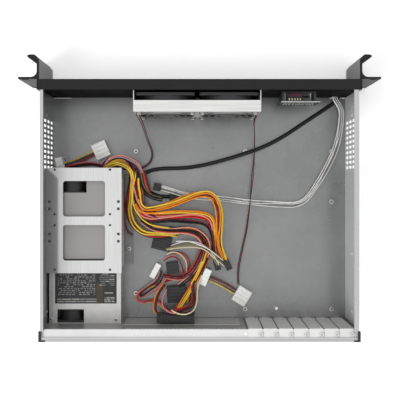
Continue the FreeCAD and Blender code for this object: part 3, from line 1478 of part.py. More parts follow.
make_tray()
make_rear_panel()
make_corners()
for number in range(SIZES["slot_count"]):
    make_slot_cover(number)
make_shield()
make_front_panel()
make_bezel()
make_handle("left", "")
make_handle("right", "-")
make_handle_screws()
for side in ("left", "right"):
    make_fan_frame(f"fan_frame_{side}", "fan", f"fan_{side}", FAN_BACK, FAN_LEVEL)
    make_fan_rotor(f"fan_rotor_{side}", "fan", f"fan_{side}", FAN_BACK, FAN_LEVEL)
make_fan_bracket()
make_guards()
make_fan_screws()
make_socket_unit()
make_buttons()
make_psu_shell()
make_psu_cover()
for end, back in (("rear", f"{WALL} - psu_sheet"), ("front", f"{PSU_FRONT} + psu_sheet + psu_fan_depth")):
    make_fan_frame(f"psu_fan_frame_{end}", "psu_fan", PSU_FAN_X, f"({back})", PSU_FAN_LEVEL)
    make_fan_rotor(f"psu_fan_rotor_{end}", "psu_fan", PSU_FAN_X, f"({back})", PSU_FAN_LEVEL)
make_inlet()
make_drive_bracket()
make_standoffs()
make_case_screws()
for cord in ROUTES:
    make_cord(cord)
make_plugs()
make_tie()

doc.recompute()
for thing in doc.Objects:
    if "Invalid" in thing.State or "Error" in thing.State:
        raise RuntimeError(f"{thing.Name} failed: {thing.State}")
os.makedirs("parts", exist_ok=True)
for node in NODES:
    if node.Shape.isNull() or not node.Shape.isValid():
        raise RuntimeError(f"{node.Label} has no valid shape")
    node.Shape.exportStep(f"parts/{node.Label}.step")
    print(node.Label, len(node.Shape.Solids), round(node.Shape.Volume, 1), node.Shape.BoundBox)
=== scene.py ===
"""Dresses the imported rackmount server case: materials, wires, connectors and small fittings."""

import math
import random

import bmesh
import bpy
from mathutils import Matrix, Vector


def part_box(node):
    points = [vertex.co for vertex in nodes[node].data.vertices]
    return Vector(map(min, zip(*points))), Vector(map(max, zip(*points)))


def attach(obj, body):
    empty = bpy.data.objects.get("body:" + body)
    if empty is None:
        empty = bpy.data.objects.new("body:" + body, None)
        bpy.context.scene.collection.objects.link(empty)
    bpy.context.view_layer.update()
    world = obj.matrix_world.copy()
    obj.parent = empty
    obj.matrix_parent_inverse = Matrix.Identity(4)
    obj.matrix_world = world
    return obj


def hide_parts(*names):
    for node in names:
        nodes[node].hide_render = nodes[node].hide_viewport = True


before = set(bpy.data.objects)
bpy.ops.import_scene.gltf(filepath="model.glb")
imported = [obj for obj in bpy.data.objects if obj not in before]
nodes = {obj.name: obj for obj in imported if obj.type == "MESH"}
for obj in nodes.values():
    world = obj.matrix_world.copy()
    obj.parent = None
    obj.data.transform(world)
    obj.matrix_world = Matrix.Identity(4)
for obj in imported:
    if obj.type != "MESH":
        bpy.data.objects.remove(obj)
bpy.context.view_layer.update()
MM = 0.001
CASE = "case"
FLOOR_LEVEL = 1.1  # just above the case's floor sheet, in mm

# ---- camera, light and floor

EVEN_LIGHT = 0.7  # the world's strength as a light, where its background has 1
FLOOR_LIFT = 0.45  # what the floor adds wherever it is seen as background, to come out white


def add_object(name, data):
    """An object linked into the scene."""
    thing = bpy.data.objects.new(name, data)
    bpy.context.collection.objects.link(thing)
    return thing


def add_camera():
    """Looks straight down on the case, its front at the top of the picture."""
    data = bpy.data.cameras.new("camera")
    data.lens = 64.4
    data.sensor_width = 36
    data.shift_x = 0.00125
    data.shift_y = -0.03
    data.clip_end = 20
    camera = add_object("camera", data)
    camera.location = (0, -0.030, 1.039)
    camera.rotation_euler = (0, 0, math.pi)
    bpy.context.scene.camera = camera


def add_lamp(name, place, size, power):
    """A soft square lamp that faces the middle of the case."""
    data = bpy.data.lights.new(name, "AREA")
    data.size = size
    data.energy = power
    lamp = add_object(name, data)
    lamp.location = place
    lamp.rotation_euler = Vector(place).to_track_quat("Z", "Y").to_euler()
    lamp.visible_glossy = False


def white_rays(owner):
    """1 for the rays that show the white background, and 0 for those that only light."""
    path = add_node(owner, "ShaderNodeLightPath").outputs
    seen = calculated(owner, "MAXIMUM", path["Is Camera Ray"], path["Is Glossy Ray"])
    return calculated(owner, "MAXIMUM", seen, path["Is Transmission Ray"])


def add_world():
    """White as a background, in reflections too, and even and softer as a light."""
    world = bpy.data.worlds.new("studio")
    world.use_nodes = True
    bpy.context.scene.world = world
    background = world.node_tree.nodes["Background"]
    background.inputs["Color"].default_value = (1, 1, 1, 1)
    strength = calculated(world, "MAXIMUM", EVEN_LIGHT, white_rays(world))
    world.node_tree.links.new(strength, background.inputs["Strength"])


def add_floor():
    """The plain pale floor under the case."""
    mesh = bpy.data.meshes.new("floor")
    reach, level = 3.0, -0.0005
    corners = [(-reach, -reach), (reach, -reach), (reach, reach), (-reach, reach)]
    mesh.from_pydata([(x, y, level) for x, y in corners], [], [(0, 1, 2, 3)])
    mesh.materials.append(floor_material())
    add_object("floor", mesh)


# ---- shader nodes


def new_material(name, color, roughness, metallic=0.0, **sockets):
    """A material with its uniform values set on the shader's own sockets."""
    material = bpy.data.materials.new(name)
    material.use_nodes = True
    shader = material.node_tree.nodes["Principled BSDF"]
    values = {"Base Color": (*color, 1), "Roughness": roughness, "Metallic": metallic, **sockets}
    for socket, value in values.items():
        shader.inputs[socket.replace("_", " ")].default_value = value
    return material


def add_node(owner, kind, inputs=(), **settings):
    """A node of a material or world; an input is a value, or the socket that feeds it."""
    tree = owner.node_tree
    node = tree.nodes.new(kind)
    for key, value in settings.items():
        setattr(node, key, value)
    for key, value in dict(inputs).items():
        if isinstance(value, bpy.types.NodeSocket):
            tree.links.new(value, node.inputs[key])
        else:
            node.inputs[key].default_value = value
    return node


def feed(material, socket, source):
    """Leads a source into a socket of the material's shader."""
    shader = material.node_tree.nodes["Principled BSDF"]
    material.node_tree.links.new(source, shader.inputs[socket])


def place_of(material):
    """The piece's own place, in metres."""
    return add_node(material, "ShaderNodeTexCoord").outputs["Object"]


def split_place(material):
    """The piece's own place, split into its X, Y and Z."""
    return add_node(material, "ShaderNodeSeparateXYZ", {"Vector": place_of(material)}).outputs


def stretched(material, scale):
    """The piece's own place, scaled along its axes."""
    inputs = {"Vector": place_of(material), "Scale": scale}
    return add_node(material, "ShaderNodeMapping", inputs).outputs["Vector"]


def noise(material, scale, detail=3.0, roughness=0.55, vector=None):
    inputs = {"Scale": scale, "Detail": detail, "Roughness": roughness}
    inputs["Vector"] = vector or place_of(material)
    return add_node(material, "ShaderNodeTexNoise", inputs).outputs["Fac"]


def ranged(material, source, low, high, start=0.3, end=0.7):
    """A source's middle range spread between two values."""
    inputs = {"Value": source, "From Min": start, "From Max": end, "To Min": low, "To Max": high}
    return add_node(material, "ShaderNodeMapRange", inputs).outputs["Result"]


def mixed(material, factor, first, second):
    """Two colours, or colour sockets, mixed by a factor."""
    colors = [c if isinstance(c, bpy.types.NodeSocket) else (*c, 1) for c in (first, second)]
    inputs = {0: factor, 6: colors[0], 7: colors[1]}
    return add_node(material, "ShaderNodeMix", inputs, data_type="RGBA").outputs[2]


def bumped(material, height, strength, distance):
    inputs = {"Height": height, "Strength": strength, "Distance": distance}
    feed(material, "Normal", add_node(material, "ShaderNodeBump", inputs).outputs["Normal"])


def calculated(owner, operation, *values):
    """A Math node's result."""
    inputs = dict(enumerate(values))
    return add_node(owner, "ShaderNodeMath", inputs, operation=operation).outputs[0]


def masked(material, axis, low, high, size=False):
    """0 to 1 over a stretch of the piece's own place along an axis, or of its size."""
    value = split_place(material)[axis]
    if size:
        value = calculated(material, "ABSOLUTE", value)
    return ranged(material, value, 0.0, 1.0, low, high)


def meeting(material, masks):
    """1 where all the masks meet, and 0 outside any of them."""
    factor = masks[0]
    for mask in masks[1:]:
        factor = calculated(material, "MULTIPLY", factor, mask)
    return factor


def repaint(material, factor, color, **sockets):
    """Mixes a second colour, and second shader values, into a material by a factor."""
    shader = material.node_tree.nodes["Principled BSDF"]
    base = shader.inputs["Base Color"].links[0].from_socket
    feed(material, "Base Color", mixed(material, factor, base, color))
    for socket, value in sockets.items():
        first = shader.inputs[socket].default_value
        feed(material, socket, ranged(material, factor, first, value, 0.0, 1.0))


# ---- materials


def sheet_metal(name, dark, pale, spangle=140.0, rough=(0.38, 0.52), metallic=0.75):
    """Zinc-coated sheet: soft clouds, small crystal spangle and a fine grain."""
    material = new_material(name, pale, rough[0], metallic)
    inputs = {"Vector": place_of(material), "Scale": spangle, "Randomness": 1.0}
    crystals = add_node(material, "ShaderNodeTexVoronoi", inputs)
    grain = noise(material, 900.0, 4.0)
    clouds = noise(material, 9.0, 5.0)
    shade = mixed(material, ranged(material, clouds, 0.0, 1.0), dark, pale)
    spark = ranged(material, crystals.outputs["Color"], 0.0, 0.16, 0.0, 1.0)
    shade = mixed(material, spark, shade, [min(1, c * 1.25) for c in pale])
    feed(material, "Base Color", shade)
    feed(material, "Roughness", ranged(material, clouds, *rough))
    bumped(material, grain, 0.12, 0.0003)
    return material


def brushed_metal(name, color, rough, along=(4.0, 300.0, 300.0), metallic=0.85, depth=0.86):
    """Bright metal with a fine grain; along is how often it changes on each axis."""
    material = new_material(name, color, rough, metallic)
    lines = noise(material, 3.0, 4.0, 0.6, stretched(material, along))
    darker = [c * depth for c in color]
    feed(material, "Base Color", mixed(material, ranged(material, lines, 0.0, 1.0), darker, color))
    feed(material, "Roughness", ranged(material, lines, rough * 0.85, rough * 1.25))
    bumped(material, lines, 0.08, 0.0002)
    return material


def coated(name, color, rough, grain=1400.0, depth=0.25, metallic=0.0, lift=1.35, shine=0.5):
    """Paint or moulded plastic with a fine texture and slight changes of tone."""
    material = new_material(name, color, rough, metallic, Specular_IOR_Level=shine)
    clouds = noise(material, 40.0, 3.0)
    paler = [min(1, c * lift) for c in color]
    feed(material, "Base Color", mixed(material, ranged(material, clouds, 0.0, 1.0), color, paler))
    feed(material, "Roughness", ranged(material, clouds, rough * 0.9, min(1, rough * 1.12)))
    bumped(material, noise(material, grain, 2.0), depth, 0.0002)
    return material


def insulation(name, color):
    """A wire's soft vinyl."""
    material = new_material(name, color, 0.33, Specular_IOR_Level=0.28)
    streaks = noise(material, 120.0, 2.0)
    darker = [c * 0.82 for c in color]
    shade = mixed(material, ranged(material, streaks, 0.0, 1.0), darker, color)
    feed(material, "Base Color", shade)
    bumped(material, noise(material, 700.0, 2.0), 0.05, 0.0002)
    return material


def floor_material():
    """Plain and pale, as white as the background wherever that is seen."""
    material = new_material("pale_floor", (0.90, 0.90, 0.90), 0.9)
    grain = ranged(material, noise(material, 60.0, 2.0), 0.0, 1.0)
    shade = mixed(material, grain, (0.89, 0.89, 0.89), (0.91, 0.91, 0.91))
    feed(material, "Base Color", shade)
    feed(material, "Emission Color", shade)
    lift = ranged(material, white_rays(material), 0.0, FLOOR_LIFT, 0.0, 1.0)
    feed(material, "Emission Strength", lift)
    return material


MATERIALS = {
    "tray": sheet_metal(
        "tray_zinc", (0.225, 0.229, 0.229), (0.30, 0.304, 0.302), rough=(0.24, 0.34), metallic=0.65
    ),
    "wall": sheet_metal(
        "rear_zinc", (0.70, 0.705, 0.70), (0.80, 0.805, 0.80), rough=(0.32, 0.42), metallic=0.3
    ),
    # the front panel is black, painted darker still as shade behind the bezel
    "pan": coated("pan_black_and_shade", (0.002, 0.002, 0.0022), 0.65, shine=0.08),
    "cover": sheet_metal("cover_zinc", (0.74, 0.74, 0.73), (0.88, 0.88, 0.86), 240.0, metallic=0.4),
    "shield": brushed_metal("shield_steel", (0.72, 0.72, 0.71), 0.34),
    "bracket": brushed_metal("bracket_steel", (0.76, 0.765, 0.76), 0.36, (300.0, 5.0, 300.0), 0.45),
    "fan_bracket": brushed_metal(
        "fan_bracket_steel", (0.88, 0.88, 0.87), 0.36, (5.0, 300.0, 300.0), metallic=0.4, depth=0.74
    ),
    "supply": sheet_metal("supply_zinc", (0.40, 0.405, 0.40), (0.52, 0.525, 0.52), 180.0, (0.34, 0.5)),
    "supply_lid": sheet_metal(
        "lid_zinc", (0.53, 0.525, 0.52), (0.68, 0.67, 0.66), 180.0, rough=(0.34, 0.5), metallic=0.5
    ),
    "front": coated("front_coat", (0.014, 0.014, 0.0145), 0.6, 1600.0, 0.3, shine=0.22),
    "handle": coated("handle_coat", (0.010, 0.010, 0.0105), 0.45, 1600.0, 0.3, shine=0.25),
    "corner": coated("corner_coat", (0.02, 0.02, 0.02), 0.5),
    "fan": coated("fan_plastic", (0.016, 0.016, 0.017), 0.5),
    "blade": coated("blade_plastic", (0.022, 0.022, 0.024), 0.42),
    # the fan guards' wire is darkened to a dark grey, as painted shade
    "guard": brushed_metal("guard_wire", (0.38, 0.38, 0.375), 0.3, (60.0, 60.0, 60.0)),
    "screw": brushed_metal("screw_steel", (0.62, 0.62, 0.60), 0.28, (80.0, 80.0, 80.0)),
    "pale_screw": brushed_metal(
        "pale_screw_steel", (0.78, 0.78, 0.76), 0.34, (80.0, 80.0, 80.0), metallic=0.4
    ),
    "dark_screw": coated("screw_coat", (0.03, 0.03, 0.03), 0.4, metallic=0.5),
    "board": coated("board_mask", (0.016, 0.024, 0.019), 0.4, 300.0, 0.2, lift=1.5),
    "socket": coated("socket_plastic", (0.03, 0.03, 0.03), 0.45),
    "button": coated("button_plastic", (0.03, 0.03, 0.032), 0.32),
    "light": coated("light_pipe", (0.62, 0.66, 0.58), 0.25),
    "post": brushed_metal("post_nickel", (0.62, 0.61, 0.58), 0.3, (60.0, 60.0, 60.0)),
    "plug": coated("plug_nylon", (0.022, 0.022, 0.023), 0.45, 900.0),
    "white_plug": coated("plug_nylon_white", (0.84, 0.84, 0.82), 0.45, 900.0, lift=1.08),
    "shell_pink": coated("shell_pink", (0.62, 0.50, 0.54), 0.4, 900.0),
    "shell_wine": coated("shell_wine", (0.12, 0.03, 0.06), 0.4, 900.0),
    "pale_edge": coated("pale_edge", (0.86, 0.86, 0.85), 0.4, 900.0, 0.2),
    "pin": brushed_metal("pin_metal", (0.72, 0.66, 0.50), 0.3, (60.0, 60.0, 60.0)),
}

# The supply's label: its field first, then what is printed on it.
LABEL_COLORS = {
    "label_dark": (0.016, 0.016, 0.017),
    "label_bar": (0.12, 0.12, 0.122),
    "label_pale": (0.30, 0.29, 0.27),
    "label_brown": (0.045, 0.03, 0.02),
    "label_grey": (0.20, 0.20, 0.20),
}
LABEL = [coated(name, color, 0.4, 300.0, 0.05) for name, color in LABEL_COLORS.items()]

# Where a part's colour differs, mostly as painted light and shade, in painting order: the material,
# the second colour, the stretches of the part's own place, in metres, over which it fades in, and
# other shader values there.
REPAINTED = [
    # the tray's folded top edges are painted paler than the sheet below them, as a painted highlight
    ("tray", (0.54, 0.545, 0.54), [("Z", 0.0845, 0.0855)], {}),
    # its -X side wall is painted paler and less metallic inside, as painted light falling on it from
    # +X
    (
        "tray", (0.80, 0.81, 0.82),
        [("X", -0.2117, -0.2119), ("Z", 0.0855, 0.0845)], {"Metallic": 0.35},
    ),
    # the rear wall is painted darker inside, below the ledge, as painted shade
    ("wall", (0.34, 0.342, 0.34), [("Z", 0.0825, 0.0815), ("Y", 0.1590, 0.1588)], {}),
    # the rear lip behind the ledge is a darker grey than the ledge
    ("wall", (0.50, 0.502, 0.50), [("Y", 0.1700, 0.1704)], {}),
    # the rear wall is painted near black in the narrow gaps between the slot covers, as painted shade
    (
        "wall", (0.05, 0.05, 0.05),
        [("Z", 0.0825, 0.0815), ("X", -0.0625, -0.0635), ("Y", 0.1590, 0.1588)], {},
    ),
    # the drive bracket's foot on the floor is painted dark, without brushed lines, as painted shade
    ("bracket", (0.24, 0.242, 0.24), [("Z", 0.012, 0.008)], {}),
    # the supply's lid is painted darker where the drive bracket stands over it, as painted shade
    ("supply_lid", (0.35, 0.343, 0.337), [("Y", 0.084, 0.080)], {}),
    # the handles' backs are darker than their edges
    ("handle", (0.006, 0.006, 0.0065), [("X", 0.2138, 0.2142, True), ("Y", -0.1790, -0.1770)], {}),
    # their flat inner sides are painted a paler grey and less metallic, as a painted reflection of the
    # bright surroundings
    (
        "handle", (0.16, 0.16, 0.161),
        [("X", 0.2134, 0.2131, True), ("Y", -0.1752, -0.1756)], {"Metallic": 0.3},
    ),
]


def paint_bracket_side_shade(material):
    """Paints shade on the drive bracket's outer strip, ending in a mitre at its front end."""
    strip = masked(material, "X", 0.1945, 0.1975)
    place = split_place(material)
    slant = calculated(material, "MULTIPLY_ADD", place["X"], 0.9, place["Y"])
    mitre = ranged(material, slant, 0.0, 1.0, 0.131, 0.135)
    repaint(material, meeting(material, [strip, mitre]), (0.31, 0.312, 0.31))


paint_bracket_side_shade(MATERIALS["bracket"])
for key, color, stretches, values in REPAINTED:
    masks = [masked(MATERIALS[key], *stretch) for stretch in stretches]
    repaint(MATERIALS[key], meeting(MATERIALS[key], masks), color, **values)

DRESS = {
    "tray": ["chassis_tray"],
    "wall": ["rear_panel", "io_bracket"],
    "pan": ["front_panel"],
    "cover": [f"slot_cover_{k}" for k in range(1, 8)],
    "shield": ["io_shield"],
    "bracket": ["drive_bracket"],
    "fan_bracket": ["fan_bracket"],
    "supply": ["psu_shell"],
    "supply_lid": ["psu_cover"],
    "front": ["front_bezel"],
    "handle": ["handle_left", "handle_right"],
    "corner": ["rear_corners"],
    "fan": ["fan_frame_left", "fan_frame_right", "psu_fan_frame_rear", "psu_fan_frame_front"],
    "blade": ["fan_rotor_left", "fan_rotor_right", "psu_fan_rotor_rear", "psu_fan_rotor_front"],
    "guard": ["fan_guards"],
    "screw": ["fan_screws", "case_screws"],
    "dark_screw": ["handle_screws"],
    "board": ["io_board"],
    "socket": ["usb_ports", "power_inlet", "button_switches"],
    "button": ["power_button", "reset_button"],
    "light": ["indicator_lights"],
    "post": ["standoffs"],
}


def dress_nodes():
    """Gives each carried CAD node its material; the cable tie keeps the one it came with."""
    for key, names in DRESS.items():
        for name in names:
            mesh = nodes[name].data
            mesh.materials.clear()
            mesh.materials.append(MATERIALS[key])


# ---- meshes


def finish_mesh(name, bm, materials):
    """Turns a bmesh into a piece that rides on the case."""
    bmesh.ops.recalc_face_normals(bm, faces=bm.faces)
    mesh = bpy.data.meshes.new(name)
    bm.to_mesh(mesh)
    bm.free()
    piece = add_object(name, mesh)
    for material in materials:
        mesh.materials.append(material)
    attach(piece, CASE)
    return piece


BLOCK_FACES = ((0, 2, 3, 1), (4, 5, 7, 6), (0, 1, 5, 4), (2, 6, 7, 3), (0, 4, 6, 2), (1, 3, 7, 5))


def add_slab(bm, x, y, z, slot=0):
    """A flat block between two values along each axis, in millimetres."""
    verts = [bm.verts.new(Vector((a, b, c)) * MM) for c in z for b in y for a in x]
    for loop in BLOCK_FACES:
        bm.faces.new([verts[k] for k in loop]).material_index = slot


def ring_round(bm, place, side, up, radius, sides):
    """A ring of corner points round a place."""
    ring = []
    for k in range(sides):
        angle = 2 * math.pi * k / sides
        ring.append(bm.verts.new(place + radius * (side * math.cos(angle) + up * math.sin(angle))))
    return ring


def join_rings(bm, rings, slot=0):
    """Smooth faces between each ring and the next."""
    for first, second in zip(rings, rings[1:]):
        for k in range(len(first)):
            after = (k + 1) % len(first)
            face = bm.faces.new((first[k], first[after], second[after], second[k]))
            face.smooth = True
            face.material_index = slot


def bevelled(piece, width):
    """Rounds a piece's sharp edges."""
    modifier = piece.modifiers.new("edges", "BEVEL")
    modifier.width = width * MM
    modifier.segments = 2
    modifier.limit_method = "ANGLE"
    modifier.harden_normals = True


def islands(node):
    """The corner points of each separate solid of a node."""
    bm = bmesh.new()
    bm.from_mesh(nodes[node].data)
    bmesh.ops.remove_doubles(bm, verts=bm.verts, dist=1e-6)
    seen, groups = set(), []
    for start in bm.verts:
        if start in seen:
            continue
        group, front = [], [start]
        seen.add(start)
        while front:
            vert = front.pop()
            group.append(vert.co.copy())
            for edge in vert.link_edges:
                other = edge.other_vert(vert)
                if other not in seen:
                    seen.add(other)
                    front.append(other)
        groups.append(group)
    bm.free()
    return groups


def boxes_of(node):
    """Each box-shaped solid of a node: its middle, its two level edges and its height."""
    boxes = []
    for group in islands(node):
        low, high = min(p.z for p in group), max(p.z for p in group)
        base = [p for p in group if p.z < low + 1e-6]
        middle = sum(base, Vector()) / len(base)
        base.sort(key=lambda p: math.atan2(p.y - middle.y, p.x - middle.x))
        first, second = base[1] - base[0], base[3] - base[0]
        middle.z = (low + high) / 2
        boxes.append((middle, first, second, high - low))
    return boxes


# ---- wires

# The route of each cord that the frame holds, in mm.
ROUTES = {
    "board_cable": [
        (136.5, -40, 15), (136.5, -60, 15), (124.5, -72, 15), (107.5, -72, 15), (95.5, -60, 15),
        (96, -41.5, 15), (100, -23, 15), (101.5, -3, 15.5), (98.5, 16, 16), (88, 29.5, 16),
        (71, 37.5, 16), (52, 38, 17), (32, 33.5, 18), (13.5, 30.5, 18.5), (-2, 36.5, 18),
        (-11.5, 50, 17.5), (-12, 67, 17), (-5, 83, 16), (4.5, 98, 16), (12, 112.5, 20),
        (20, 125.5, 28), (27.5, 135, 38), (33, 145, 43),
    ],
    "processor_cable_1": [
        (136.5, -40, 21.5), (136.5, -60, 21.5), (124.5, -72, 21.5), (107.5, -72, 21.5),
        (95.5, -60, 21.5), (94.5, -41.5, 21.5), (93, -24.5, 21.5), (87.5, -8, 22), (74.5, 0.5, 23),
        (57.5, -1, 25), (40.5, -6.5, 28), (23.5, -14.5, 30), (6.5, -20, 31), (-10.5, -20.5, 31),
        (-24, -12.5, 30.5), (-30.5, 3, 29.5), (-30.5, 21.5, 28), (-27.5, 39.5, 25), (-29, 57, 20),
        (-36.5, 72.5, 13),
    ],
    "processor_cable_2": [
        (136.5, -40, 28), (136.5, -60, 28), (124.5, -72, 28), (107.5, -72, 28), (95.5, -60, 28),
        (93.5, -41.5, 28), (89.5, -26, 29), (84.5, -9.5, 29.5), (75.5, 4.5, 29.5), (60, 11, 27.5),
        (42.5, 10.5, 26), (25, 7.5, 24), (8, 7, 22.5), (-8, 10, 21), (-18.5, 20.5, 20),
        (-21.5, 36.5, 18.5), (-19.5, 53.5, 15), (-23.5, 72, 11),
    ],
    "link_cable": [
        (42.5, 56, 7), (28, 49.5, 15), (12, 47, 22), (-3, 50.5, 26), (-14, 60, 27.5),
        (-22.5, 72, 24), (-26.5, 80.5, 18),
    ],
    "drive_cable": [
        (39.5, 64, 7), (26, 63.5, 8), (16.5, 73, 8), (16.5, 86.5, 8), (26, 97.5, 8),
        (42.5, 102.5, 7.5), (61.5, 107.5, 7.5), (76.5, 113.5, 9), (87.5, 119, 10.5),
        (92, 129.5, 10.5), (82.5, 136.5, 10), (71.5, 133, 8.5), (60.5, 133, 7.5), (52, 141.5, 8),
        (40.5, 149.5, 9), (26, 149, 11), (13, 141.5, 12), (9.5, 129, 12), (16, 121, 11),
    ],
    "usb_cable": [
        (-203, -168, 6.4), (-199.5, -157.5, 5.4), (-189.5, -149.5, 3.9), (-171.5, -137.5, 4.3),
        (-148.5, -122.5, 4.4), (-123.5, -105.5, 5), (-96, -90.5, 8), (-65.5, -79.5, 11),
        (-36, -70.5, 9), (-6.5, -63, 6), (22.5, -58.5, 4.5), (56.5, -58.5, 4.5), (79, -53.5, 4.5),
        (85.5, -38.5, 4.5), (74, -24, 4.5), (56.5, -17, 4.5), (43.5, -17.5, 4.5),
    ],
    "panel_wires": [
        (-193, -166, 9.5), (-194, -157.5, 10.7), (-199.8, -149.8, 10.2), (-204.8, -140.5, 6.8),
        (-204.5, -127, 5), (-200.5, -102, 8), (-194, -81.5, 10.8), (-183, -58, 9),
        (-169.5, -34.5, 8), (-156, -14, 6), (-140, -5.5, 5), (-119.5, -6, 5), (-96, -7.5, 7),
        (-71, -10, 11.5), (-46.5, -13, 12), (-23.5, -15.5, 13), (-0.5, -17, 14), (21, -20.5, 13),
        (41, -27, 11.5), (56.5, -30.5, 6.5),
    ],
    "fan_lead_left": [
        (87, -132, 50), (82, -125.5, 42), (77.5, -110.5, 28), (73.5, -96, 16), (67.5, -82, 8),
        (69.5, -69, 5), (79, -60.5, 3.5), (93.5, -57, 3.5), (109.5, -57.5, 3.5), (122.5, -62, 3.5),
        (133, -70, 5),
    ],
    "fan_lead_right": [
        (-80.7, -132, 50), (-76, -125.5, 40), (-78.5, -109, 28), (-79.5, -90, 14.8), (-79, -70, 13),
        (-77, -50, 12), (-75, -30, 14), (-73, -10, 17.5), (-71, 10, 11), (-68.5, 30.5, 7),
        (-63.5, 51, 5), (-59.5, 71, 4.5), (-55.5, 90, 4.5), (-56.5, 109.5, 5),
    ],
    "adaptor_wires_a": [
        (193.5, -63, 11), (180, -66.5, 9), (165, -74, 7.5), (151.5, -80, 6.5),
    ],
    "adaptor_wires_b": [
        (-13, 99, 12), (-26, 104.5, 10), (-39, 112, 8), (-52, 120, 6),
    ],
}

COLORS = {
    "yellow": (0.98, 0.68, 0.07),
    "orange": (0.95, 0.30, 0.02),
    "red": (0.68, 0.035, 0.03),
    "pink": (0.80, 0.27, 0.29),
    "salmon": (0.80, 0.34, 0.24),
    "black": (0.014, 0.013, 0.014),
    "navy": (0.02, 0.022, 0.05),
    "brown": (0.14, 0.045, 0.02),
    "maroon": (0.20, 0.02, 0.03),
    "rose": (0.42, 0.26, 0.27),
    "olive": (0.30, 0.28, 0.13),
    "cream": (0.86, 0.76, 0.48),
    "white": (0.93, 0.925, 0.91),
    "grey": (0.33, 0.32, 0.31),
}

WIRES = {name: insulation(f"wire_{name}", color) for name, color in COLORS.items()}

# Each cord: diameter, wire diameter, the wires' colours, far end and the pieces on it.
CORDS = {
    "board_cable": (
        6.0, 1.9, "yellow yellow black brown yellow black orange black red", "plug", ["board_plug"]
    ),
    "processor_cable_1": (
        6.0, 1.9, "yellow orange yellow orange yellow black yellow orange",
        "plug", ["processor_plug_1"],
    ),
    "processor_cable_2": (
        6.0, 1.9, "yellow red yellow pink red yellow black orange", "plug", ["processor_plug_2"]
    ),
    "link_cable": (3.0, 1.5, "olive white grey", "object", []),
    "drive_cable": (3.5, 1.6, "pink red yellow", "object", []),
    "usb_cable": (5.5, 5.5, "black", "plug", ["usb_plug"]),
    "panel_wires": (5.0, 1.3, "white grey white white white", "plug", ["panel_plug"]),
    "fan_lead_left": (2.6, 1.2, "maroon black", "object", []),
    "fan_lead_right": (2.6, 1.2, "maroon black", "object", []),
    "adaptor_wires_a": (5.0, 1.7, "yellow black black red", "plug", ["adaptor_plugs_a"]),
    "adaptor_wires_b": (5.0, 1.8, "maroon rose black yellow", "plug", ["adaptor_plugs_b"]),
}

